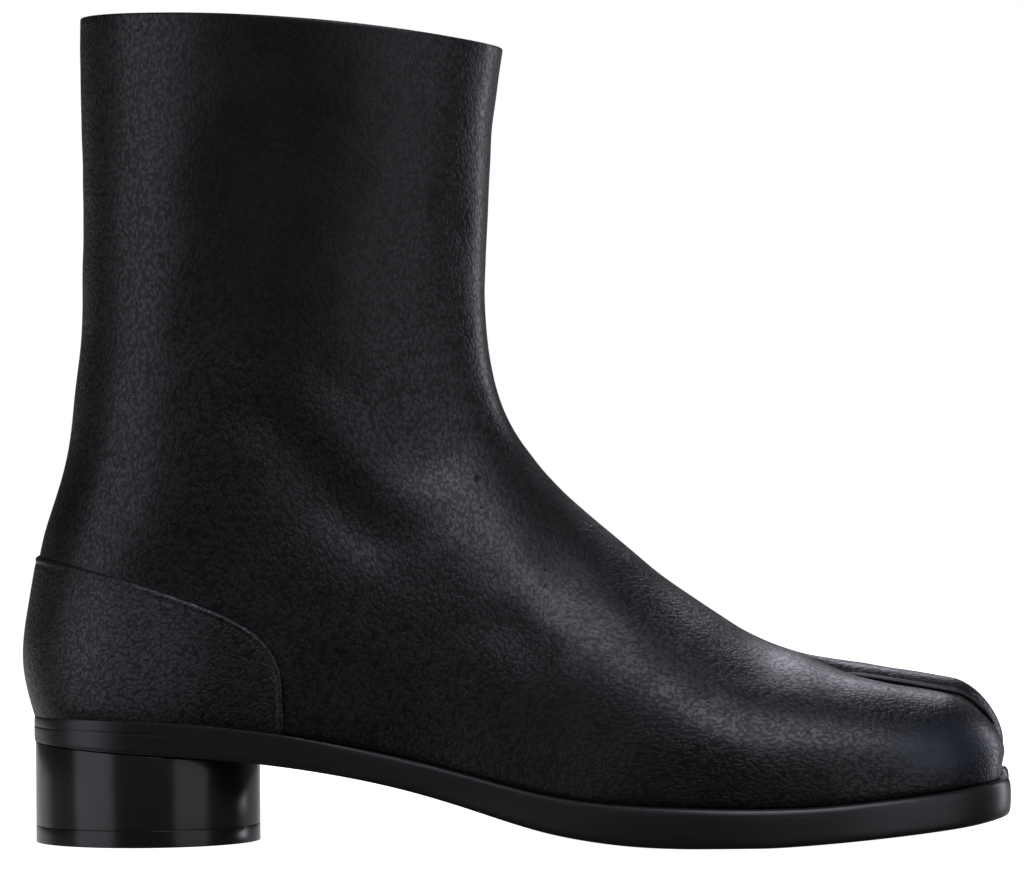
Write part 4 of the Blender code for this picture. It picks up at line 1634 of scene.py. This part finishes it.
@dataclass
class CleftSeam:
    """The seam in the split toe: a thin roll of leather along the inner wall of each lobe.

    Attributes:
        last: Shape of the boot.
        place: Where the last's frame lies.
        below_ridge: Depth of the roll below the lobe's ridge.
        start: Share of the lobe's length where it starts.
        end: Share of the lobe's length where it ends.
        radius: Its radius.
        sunk: How far its middle is sunk into the wall.
        stations: Steps along it.
        ring: Steps round it.
        taper: Share of its length over which each end narrows.
    """

    last: Last
    place: LastFrame
    below_ridge: float = 3.6
    start: float = 0.2
    end: float = 0.96
    radius: float = 0.9
    sunk: float = 0.25
    stations: int = 70
    ring: int = 12
    taper: float = 0.12

    def path(self, side: Side) -> Array:
        """Lay the roll's middle along one lobe.

        Args:
            side: Side of the boot.

        Returns:
            Points of the path.
        """
        points = []
        for share in np.linspace(self.start, self.end, self.stations):
            half = self.last.lobe_half(float(share), side)
            points.append(half.fall(np.array([half.turn_below(self.below_ridge)]))[0])
        return along_curve(np.array(points), self.stations)

    def roll(self, side: Side) -> Array:
        """Rings of points round the roll, narrowed to a point at both ends.

        Args:
            side: Side of the boot.

        Returns:
            Points by station and place on the ring.
        """
        path = self.path(side)
        along = np.gradient(path, axis=0)
        along /= np.linalg.norm(along, axis=1)[:, None]
        across = np.cross(along, (0.0, float(side), 0.0))
        across /= np.linalg.norm(across, axis=1)[:, None]
        out = np.cross(across, along)
        place = np.linspace(0.0, 1.0, len(path))
        thick = self.radius * np.sqrt(clamp(place / self.taper) * clamp((1 - place) / self.taper))
        angle = np.linspace(0.0, 2 * pi, self.ring + 1)
        spokes = across[:, None] * np.cos(angle)[None, :, None] + out[:, None] * np.sin(angle)[None, :, None]
        return path[:, None] - out[:, None] * self.sunk + spokes * thick[:, None, None]

    def build(self) -> list[bpy.types.Object]:
        """Make both rolls.

        Returns:
            A piece for each side.
        """
        pieces = []
        for side in Side:
            mesh = grid_sheet(self.roll(side), -1, self.place)
            bmesh.ops.recalc_face_normals(mesh, faces=mesh.faces)
            pieces.append(Piece(f"cleft_seam_{side.field}", "upper_leather", (SEAM_LEATHER,)).make(mesh))
        return pieces


@dataclass
class HeelCounter:
    """The counter: a second skin of leather over the heel with a turned edge and a row of stitches.

    Attributes:
        last: Shape of the boot.
        place: Where the last's frame lies.
        side_columns: Grid columns along each side.
        back_columns: Grid columns round each half of the back.
        rows: Grid rows from the sole to the edge.
        row_crowding: Power that draws the rows towards the edge.
        lift: Thickness of the leather.
        least: Least height of the outside over the upper.
        under: Height of the inside over the upper, below zero where it is sunk in.
        edge_round: Distance over which the edge rounds down.
        lip: Height of the turned edge.
        lip_at: Its distance from the edge.
        lip_width: Its width.
        groove: Depth of the groove for the stitches.
        groove_at: Its distance from the edge.
        groove_width: Its width.
        stitch_pitch: Distance between stitches.
        stitch_size: Half-sizes of a stitch.
        stitch_back: Distance from the back where the stitches end.
        edge_steps: Steps along the drawn edge.
        chain_steps: Steps along the free edge and down its ends.
        stitch_steps: Steps along the row of stitches.
        edge: Points (x, z) of the edge, seen from the side.
    """

    last: Last
    place: LastFrame
    side_columns: int = 34
    back_columns: int = 26
    rows: int = 36
    row_crowding: float = 1.6
    lift: float = 0.8
    least: float = 0.12
    under: float = -0.15
    edge_round: float = 0.7
    lip: float = 0.2
    lip_at: float = 1.0
    lip_width: float = 0.55
    groove: float = 0.22
    groove_at: float = 2.1
    groove_width: float = 0.45
    stitch_pitch: float = 2.2
    stitch_size: Triple = (0.72, 0.2, 0.16)
    stitch_back: float = 4.0
    edge_steps: int = 200
    chain_steps: int = 400
    stitch_steps: int = 300
    edge: Array = field(init=False)

    def __post_init__(self) -> None:
        """Draw the counter's edge."""
        self.edge = smooth_path(COUNTER_EDGE, self.edge_steps)

    def edge_z(self, x: Number) -> Number:
        """Height of the counter's edge at x."""
        return np.interp(x, self.edge[:, 0], self.edge[:, 1])

    def columns(self) -> Array:
        """Spread the columns of one side.

        Returns:
            Their x in front of the heel's centre, then below zero the share of the way round the back.
        """
        turn = np.linspace(RIGHT_ANGLE, 0.0, self.side_columns, endpoint=False)
        straight = HEEL_CENTRE + (COUNTER_FRONT - HEEL_CENTRE) * np.sin(turn)
        back = -np.sin(np.linspace(0.0, RIGHT_ANGLE, self.back_columns + 1))
        return np.concatenate((straight, back))

    def x_at(self, column: Number, z: Number) -> Number:
        """Follow a column up the heel.

        Args:
            column: The column's x, or its share of the way round the back.
            z: Height.

        Returns:
            x of the column there.
        """
        level = np.maximum(z, self.last.heel_level)
        centre = self.last.back_centre(level)
        round_back = centre + column * (centre - self.last.back(level))
        slide = centre - HEEL_CENTRE
        share = (COUNTER_FRONT - column) / (COUNTER_FRONT - HEEL_CENTRE)
        return np.where(column > 0, column + slide * share, round_back)

    def edge_at(self, column: Number) -> Number:
        """Find where columns meet the edge.

        Args:
            column: The columns.

        Returns:
            Height of the edge on each.
        """
        z = np.full(np.shape(column), float(self.edge_z(HEEL_CENTRE)))
        for _ in range(EDGE_TRIES):
            z = self.edge_z(self.x_at(column, z))
        return z

    def surface(self, column: Number, z: Number, side: Side) -> Array:
        """Find points of the upper under the counter.

        Args:
            column: Their columns.
            z: Their heights.
            side: Side of the boot.

        Returns:
            The points.
        """
        x = self.x_at(column, z)
        y = np.where(column == -1.0, 0.0, self.last.side_at(x, z, side))
        return np.stack((x, y, z), axis=-1)

    def sheet(self) -> Array:
        """Spread a grid on the upper under the counter.

        Returns:
            Its points by row and column, from one front edge round to the other.
        """
        column = self.columns()
        top = self.edge_at(column)
        base = self.last.seat(self.x_at(column, np.full(len(column), self.last.heel_level))) + GAP
        share = 1 - (1 - np.linspace(0.0, 1.0, self.rows + 1)) ** self.row_crowding
        z = base[None] + (top - base)[None] * share[:, None]
        wide = np.broadcast_to(column, z.shape)
        lateral, medial = (self.surface(wide, z, side) for side in Side)
        return np.concatenate((lateral, medial[:, -2::-1]), axis=1)

    def edge_chain(self, sheet: Array) -> Array:
        """Points along the counter's free edge."""
        return np.concatenate((sheet[:, 0], sheet[-1, 1:-1], sheet[::-1, -1]))

    def profile(self, inset: Array) -> Array:
        """Shape the edge, its lip and its groove.

        Args:
            inset: Distance from the free edge.

        Returns:
            Height of the outside over the upper.
        """
        rise = self.lift * np.sqrt(1 - (1 - clamp(inset / self.edge_round)) ** 2)
        lip = self.lip * np.exp(-((inset - self.lip_at) / self.lip_width) ** 2)
        groove = self.groove * np.exp(-((inset - self.groove_at) / self.groove_width) ** 2)
        return np.maximum(self.least, rise + lip - groove)

    def build(self) -> list[bpy.types.Object]:
        """Make the counter and its stitches.

        Returns:
            Both pieces.
        """
        sheet = self.sheet()
        mesh = grid_sheet(sheet, -1, self.place)
        face_outward(mesh)
        chain = along_curve(self.edge_chain(sheet), self.chain_steps)
        verts = list(mesh.verts)
        points = self.place.back(np.array([vert.co for vert in verts]))
        inset = np.min(np.linalg.norm(points[:, None] - chain[None], axis=2), axis=1)
        heights = self.profile(inset)
        down = {}
        for vert, height in zip(verts, heights):
            out = vert.normal.copy()
            vert.co += out * float(height) * MM
            down[spot_key(vert.co)] = -out * (float(height) - self.under) * MM
        for vert in second_skin(mesh)[0]:
            vert.co += down[spot_key(vert.co)]
        bmesh.ops.recalc_face_normals(mesh, faces=mesh.faces)
        skin = Piece("counter_skin", "counter_leather", (COUNTER_LEATHER,), "heel_counter", COUNTER_ANGLE)
        return [skin.make(mesh), self.stitches()]

    def stitch_line(self, side: Side) -> Array:
        """Lay the row of stitches along the groove on one side.

        Args:
            side: Side of the boot.

        Returns:
            Points of the upper under it.
        """
        column = self.columns()
        column = np.concatenate((column[:1], column))
        top = self.edge_at(column)
        top[0] = float(self.last.seat(COUNTER_FRONT)) + GAP
        flat = np.stack((self.x_at(column, top), top), axis=1)
        chain = along_curve(flat, self.stitch_steps)
        run = np.gradient(chain, axis=0)
        run /= np.linalg.norm(run, axis=1)[:, None]
        inward = np.stack((-run[:, 1], run[:, 0]), axis=1)
        inset = chain + inward * self.groove_at
        inset = inset[inset[:, 0] > float(self.last.back(inset[-1, 1])) + self.stitch_back]
        y = self.last.side_at(inset[:, 0], inset[:, 1], side)
        return np.stack((inset[:, 0], y, inset[:, 1]), axis=1)

    def stitch_at(self, spot: Array, way: Array, side: Side) -> Matrix:
        """Place one stitch.

        Args:
            spot: Point of the upper under it.
            way: Direction along the row.
            side: Side of the boot.

        Returns:
            Matrix that makes it from a ball of radius 1.
        """
        along = Vector(way).normalized()
        across = Vector((0.0, float(side), 0.0)).cross(along).normalized()
        up = along.cross(across).normalized()
        turn = Matrix((along, across, up)).transposed().to_4x4()
        centre = self.place.out(spot) + up * (self.lift - self.groove) * MM
        scale = Matrix.Diagonal((*(part * MM for part in self.stitch_size), 1.0))
        return Matrix.Translation(centre) @ turn @ scale

    def stitches(self) -> bpy.types.Object:
        """Sew the row of stitches on both sides.

        Returns:
            All stitches as one piece.
        """
        mesh = bmesh.new()
        for side in Side:
            line = self.stitch_line(side)
            length = np.sum(np.linalg.norm(np.diff(line, axis=0), axis=1))
            spots = along_curve(line, max(2, round(length / self.stitch_pitch)))
            for before, spot, after in zip(spots, spots[1:], spots[2:]):
                stitch = self.stitch_at(spot, after - before, side)
                bmesh.ops.create_icosphere(mesh, subdivisions=2, radius=1.0, matrix=stitch)
        return Piece("counter_stitches", "counter_leather", (SEAM_THREAD,)).make(mesh)


@dataclass
class SoleSheet:
    """Flat plan of a sole with its split toe.

    Attributes:
        last: Shape of the boot.
        place: Where the last's frame lies.
        rim: How far it stands out past the upper's base line.
        columns: Grid columns of each half.
        lobe_rows: Grid rows of the toe lobes.
        rows: Grid rows from the crotch to the heel's centre.
        heel_rows: Grid rows round the back of the heel.
    """

    last: Last
    place: LastFrame
    rim: Rim
    columns: int = 10
    lobe_rows: int = 40
    rows: int = 80
    heel_rows: int = 26

    def stations(self) -> Array:
        """Spread the rows behind the split.

        Returns:
            Their x, from the crotch to the back of the heel.
        """
        crotch = CROTCH + self.rim.crotch
        heel_length = HEEL_CENTRE - HEEL_BACK + float(self.rim.side(np.asarray(0.0)))
        middle = np.linspace(crotch, HEEL_CENTRE, self.rows, endpoint=False)
        turn = np.linspace(0.0, RIGHT_ANGLE, self.heel_rows + 1)
        return np.concatenate((middle, HEEL_CENTRE - heel_length * np.sin(turn)))

    def row(self, x_pair: Sequence[float], edges: Sequence[tuple[float, float]]) -> Array:
        """Draw one row across the outer half, then across the inner half.

        Args:
            x_pair: x of each half.
            edges: Outer and inner y of each half.

        Returns:
            Points of the row.
        """
        share = np.linspace(0.0, 1.0, self.columns + 1)
        halves = []
        for x, (outer, inner) in zip(x_pair, edges):
            y = outer + (inner - outer) * share
            halves.append(np.stack((np.full_like(y, x), y, np.zeros_like(y)), axis=1))
        return np.concatenate((halves[0], halves[1][::-1]))

    def mesh(self) -> bmesh.types.BMesh:
        """Draw the sheet.

        Returns:
            The open sheet.
        """
        last = self.last
        rows = []
        for share in lobe_shares(self.lobe_rows):
            x_pair = [last.lobe_x(share, side, self.rim) for side in Side]
            rows.append(self.row(x_pair, [last.lobe_edges(share, side, self.rim) for side in Side]))
        for x in self.stations():
            centre = CLEFT_Y * float(smooth_step((x - HEEL_CENTRE) / (CROTCH - HEEL_CENTRE)))
            edges = [(side * float(last.side_width(x, side, self.rim)), centre) for side in Side]
            rows.append(self.row((x, x), edges))
        return grid_sheet(np.array(rows), self.lobe_rows, self.place)

    def solid(self, top_at: HeightLine, bottom_at: HeightLine) -> bmesh.types.BMesh:
        """Draw the sheet down into a solid.

        Args:
            top_at: Height of its top over x.
            bottom_at: Height of its underside over x.

        Returns:
            The solid.
        """
        mesh = self.mesh()
        top = list(mesh.verts)
        bottom = second_skin(mesh)[0]
        for verts, height_at in ((top, top_at), (bottom, bottom_at)):
            points = self.place.back(np.array([vert.co for vert in verts]))
            for vert, height in zip(verts, height_at(points[:, 0])):
                vert.co.z = float(height) * MM + self.place.origin.z
        bmesh.ops.recalc_face_normals(mesh, faces=mesh.faces)
        return mesh


@dataclass
class Outsole:
    """The sole: split at the toe, arched at the waist, with a rounded side and fine lines round its heel end.

    Attributes:
        last: Shape of the boot.
        place: Where the last's frame lies.
    """

    last: Last
    place: LastFrame

    def cleft_facing(self, spot: Vector, out: Vector) -> float:
        """Tell how squarely a spot of the sole's side looks into the cleft.

        Args:
            spot: The spot.
            out: Its outward direction.

        Returns:
            A share from 0 to 1.
        """
        point = self.place.back(np.array(spot))
        if point[0] < CROTCH:
            return 0.0
        return float(clamp(out.y if point[1] < CLEFT_Y else -out.y))

    def swell_side(self, mesh: bmesh.types.BMesh) -> None:
        """Cut rings round the sole's side and push them out to its rounded edge.

        Args:
            mesh: The sole with upright sides.
        """
        cuts = len(SOLE_EDGE)
        upright = [edge for edge in mesh.edges if (edge.verts[0].co.xy - edge.verts[1].co.xy).length < MERGE]
        spans = {}
        for edge in upright:
            low, high = sorted((vert.co.copy() for vert in edge.verts), key=lambda spot: spot.z)
            spans[spot_key(low)[:2]] = low, high
        bmesh.ops.subdivide_edges(mesh, edges=upright, cuts=cuts, use_grid_fill=True)
        mesh.normal_update()
        moves = []
        for vert in mesh.verts:
            span = spans.get(spot_key(vert.co)[:2])
            if span is None:
                continue
            low, high = span
            ring = round((high.z - vert.co.z) / (high.z - low.z) * (cuts + 1)) - 1
            if 0 <= ring < cuts:
                moves.append((vert, low, high, SOLE_EDGE[ring], vert.normal.copy()))
        for vert, low, high, edge, normal in moves:
            out = Vector((normal.x, normal.y, 0.0)).normalized()
            x = self.place.back(np.array(vert.co))[0]
            heel = 1 - float(smooth_step((x - HEEL_SEAT_END) / HEEL_SEAT_FADE))
            lined = 1 - float(smooth_step((x - HEEL_LINE_END) / HEEL_LINE_FADE))
            full = 1 - (1 - CLEFT_SWELL) * self.cleft_facing(vert.co, out) - (1 - HEEL_SWELL) * heel
            vert.co += out * (SOLE_SWELL * full * edge.swell - edge.heel_step * lined) * MM
            vert.co.z = high.z + (low.z - high.z) * edge.depth

    def build(self) -> list[bpy.types.Object]:
        """Make the outsole.

        Returns:
            Its one piece.
        """
        mesh = SoleSheet(self.last, self.place, self.last.sole_rim).solid(self.last.seat, self.last.tread)
        self.swell_side(mesh)
        return [Piece("sole_body", "outsole_leather", (SOLE_EDGE_INK,), "outsole", SOFT_ANGLE).make(mesh)]


@dataclass
class Insole:
    """The insole: a thin plate on the sole inside the upper's wall, with an eased upper edge.

    Attributes:
        last: Shape of the boot.
        place: Where the last's frame lies.
        thick: Its thickness.
        inset: How far it stays inside the upper's base line.
        crotch_inset: How far it stays behind the crotch of the split.
        columns: Grid columns of each half.
        edge_round: Radius of its upper edge.
        edge_steps: Steps round that edge.
    """

    last: Last
    place: LastFrame
    thick: float = 2.6
    inset: float = 2.6
    crotch_inset: float = 3.7
    columns: int = 8
    edge_round: float = 0.7
    edge_steps: int = 2

    UPRIGHT = 0.5

    def build(self) -> list[bpy.types.Object]:
        """Make the insole.

        Returns:
            Its one piece.
        """
        rim = Rim(lambda x: np.full_like(x, -self.inset), -self.inset, -self.inset, -self.crotch_inset)
        sheet = SoleSheet(self.last, self.place, rim, self.columns)
        mesh = sheet.solid(lambda x: self.last.seat(x) + GAP + self.thick, lambda x: self.last.seat(x) + GAP)
        rims = [edge for edge in mesh.edges if self.is_top_rim(edge)]
        round_edges(mesh, rims, self.edge_round, self.edge_steps)
        return [Piece("insole_plate", "insole_leather", (INSOLE_LEATHER,), "insole").make(mesh)]

    def is_top_rim(self, edge: bmesh.types.BMEdge) -> bool:
        """Whether an edge runs round the top of the plate."""
        lean = sorted(face.normal.z for face in edge.link_faces)
        return len(lean) == 2 and abs(lean[0]) < self.UPRIGHT < lean[1]


@dataclass
class Heel:
    """The round heel block and its top lift.

    Attributes:
        last: Shape of the boot.
        place: Where the last's frame lies.
        segments: Sides of the round.
        edge_round: Radius of the edges.
        edge_steps: Steps round each edge.
        lift_gap: Gap of the joint between block and top lift.
    """

    last: Last
    place: LastFrame
    segments: int = 160
    edge_round: float = 0.12
    edge_steps: int = 3
    lift_gap: float = 0.05

    def seat_line(self, x: float) -> float:
        """Slanted line just under the sole that the block's top follows."""
        start, end = (float(self.last.tread(spot)) for spot in (0.0, HEEL_SEAT_END))
        return start + (end - start) * x / HEEL_SEAT_END - GAP

    def layer(self, low: float, high_at: Callable[[float], float]) -> bmesh.types.BMesh:
        """A round layer with eased edges.

        Args:
            low: Height of its flat base.
            high_at: Height of its top over x.

        Returns:
            The layer.
        """
        mesh = bmesh.new()
        bmesh.ops.create_cone(mesh, cap_ends=True, segments=self.segments, radius1=HEEL_RADIUS,
                              radius2=HEEL_RADIUS, depth=1.0)
        for vert in mesh.verts:
            x = vert.co.x + HEEL_CENTRE
            z = high_at(x) if vert.co.z > 0 else low
            vert.co = self.place.out((x, vert.co.y, z))
        rims = [edge for edge in mesh.edges if any(len(face.verts) > 4 for face in edge.link_faces)]
        round_edges(mesh, rims, self.edge_round, self.edge_steps)
        return mesh

    def build(self) -> list[bpy.types.Object]:
        """Make the block and the top lift.

        Returns:
            Both pieces.
        """
        block = self.layer(LIFT_THICK + self.lift_gap, self.seat_line)
        lift = self.layer(0.0, lambda x: LIFT_THICK)
        return [
            Piece("heel_body", "heel_lacquer", (HEEL_LACQUER,), "heel_block").make(block),
            Piece("lift_layer", "top_lift_rubber", (LIFT_RUBBER,), "heel_top_lift").make(lift),
        ]


@dataclass(frozen=True)
class SoftBox:
    """A studio light panel.

    Attributes:
        name: Its name.
        spot: Where it hangs, in metres from the middle of the boot on the floor.
        aim: Point it looks at.
        size: Its width and height in metres.
        power: Its power in watts.
    """

    name: str
    spot: Triple
    aim: Triple
    size: Span
    power: float


SOFT_BOXES = (
    SoftBox("back_top", (0.18, 0.76, 0.98), (0.09, 0.0, 0.05), (0.40, 1.07), 5.2),
    SoftBox("front_top", (0.31, -0.76, 0.96), (0.09, 0.0, 0.05), (0.62, 0.66), 6.0),
    SoftBox("left_front", (-1.07, -0.71, 0.27), (-0.10, 0.0, 0.27), (0.94, 1.46), 5.4),
    SoftBox("right_front", (0.80, -0.79, 0.27), (-0.05, 0.0, 0.27), (0.78, 1.40), 2.9),
    SoftBox("toe_strip", (1.12, 0.60, 0.25), (0.13, 0.0, 0.03), (0.3, 0.8), 3.6),
)


@dataclass
class Studio:
    """Pale floor, soft light and the camera.

    Attributes:
        place: Where the last's frame lies.
        camera_spot: Where the camera stands, in the last's frame.
        roll: Slope of the camera's level.
        lens: Its focal length.
        sensor: Its sensor's width.
        floor_half: Half the floor's width in metres.
        floor_drop: Depth of the floor under the treads, which keeps their faces apart.
        backdrop: Brightness of the room as the camera sees it.
        front_glow: Light from all round.
        back_glow: Light from the table behind the boot.
        behind_glow: Light from the wall behind it.
        left_glow: Light from the table on the left.
        light_tint: Colour of the lights.
    """

    place: LastFrame
    camera_spot: Triple = (141.68, -1550.0, 115.89)
    roll: float = 0.0067
    lens: float = 188.7
    sensor: float = 36.0
    floor_half: float = 6.0
    floor_drop: float = 0.12
    backdrop: float = 1.0
    front_glow: float = 0.048
    back_glow: float = 0.6
    behind_glow: float = 0.12
    left_glow: float = 0.16
    light_tint: Colour = (0.88, 0.88, 1.0)

    # Where each glow of the room starts and is full, as parts of the direction
    TABLE_AHEAD = (0.3, 0.6)
    TABLE_TOP = (-0.03, 0.01)
    TABLE_RIGHT = (0.1, 0.5)
    TABLE_RIGHT_LOSS = 0.45
    WALL_AHEAD = (0.93, 0.99)
    WALL_TOP = (0.2, 0.4)
    LEFT_AHEAD = (0.8, 0.97)
    LEFT_TOP = (-0.05, 0.03)

    def floor(self) -> None:
        """Lay the floor."""
        mesh = bmesh.new()
        bmesh.ops.create_grid(mesh, x_segments=2, y_segments=2, size=self.floor_half)
        bmesh.ops.translate(mesh, verts=mesh.verts, vec=(0.0, 0.0, -self.floor_drop * MM))
        data = bpy.data.meshes.new("floor")
        mesh.to_mesh(data)
        mesh.free()
        data.materials.append(FLOOR_PAINT.material("floor"))
        floor = bpy.data.objects.new("floor", data)
        floor.visible_diffuse = False
        floor.visible_glossy = False
        floor.visible_shadow = False
        bpy.context.scene.collection.objects.link(floor)

    def world(self) -> None:
        """Light the room: white as seen, bright behind the boot and dim in front of it."""
        world = bpy.data.worlds.new("studio")
        bpy.context.scene.world = world
        world.use_nodes = True
        tree = ShaderTree(world.node_tree)
        way = tree.shade("ShaderNodeTexCoord", {}, {}, "Generated")
        aside, ahead, up = tree.axes(way)
        right_loss = aside.step(*self.TABLE_RIGHT) * self.TABLE_RIGHT_LOSS
        table = ahead.step(*self.TABLE_AHEAD) * (1.0 - up.step(*self.TABLE_TOP)) * (1.0 - right_loss)
        wall = ahead.step(*self.WALL_AHEAD) * (1.0 - up.step(*self.WALL_TOP))
        left = (aside * -1.0).step(*self.LEFT_AHEAD) * (1.0 - up.step(*self.LEFT_TOP))
        glow = self.front_glow + table * self.back_glow + wall * self.behind_glow + left * self.left_glow
        seen = tree.shade("ShaderNodeLightPath", {}, {}, "Is Camera Ray")
        strength = glow + (self.backdrop - glow) * seen
        shader = world.node_tree.nodes["Background"]
        shader.inputs["Color"].default_value = WHITE
        tree.feed(shader.inputs["Strength"], strength)

    def light(self, box: SoftBox) -> None:
        """Hang one light panel.

        Args:
            box: The panel.
        """
        data = bpy.data.lights.new(box.name, "AREA")
        data.shape = "RECTANGLE"
        data.size, data.size_y = box.size
        data.energy = box.power
        data.color = self.light_tint
        lamp = bpy.data.objects.new(box.name, data)
        lamp.location = box.spot
        way = Vector(box.aim) - Vector(box.spot)
        lamp.rotation_mode = "QUATERNION"
        lamp.rotation_quaternion = way.to_track_quat("-Z", "Y")
        bpy.context.scene.collection.objects.link(lamp)

    def camera(self) -> None:
        """Set up the camera, level and square to the outer side."""
        data = bpy.data.cameras.new("camera")
        data.lens = self.lens
        data.sensor_width = self.sensor
        data.dof.use_dof = False
        camera = bpy.data.objects.new("camera", data)
        right = Vector((1.0, 0.0, -self.roll)).normalized()
        up = Vector((self.roll, 0.0, 1.0)).normalized()
        turn = Matrix((right, up, Vector((0.0, -1.0, 0.0)))).transposed().to_4x4()
        camera.matrix_world = Matrix.Translation(self.place.out(self.camera_spot)) @ turn
        bpy.context.scene.collection.objects.link(camera)
        bpy.context.scene.camera = camera

    def build(self) -> None:
        """Set up the studio."""
        self.floor()
        self.world()
        for box in SOFT_BOXES:
            self.light(box)
        self.camera()
        bpy.context.scene.view_settings.view_transform = "Standard"


def note_sizes() -> None:
    """Update the view layer."""
    bpy.context.view_layer.update()


def main() -> None:
    """Build the boot and its studio."""
    logging.basicConfig(level=logging.INFO, format="%(message)s")
    last = Last()
    for assembly in (Upper, CleftSeam, HeelCounter, Insole, Outsole, Heel):
        for piece in assembly(last, PLACE).build():
            log.info("%s: %d faces", piece.name, len(piece.data.polygons))
    Studio(PLACE).build()
    note_sizes()


if __name__ == "__main__":
    main()
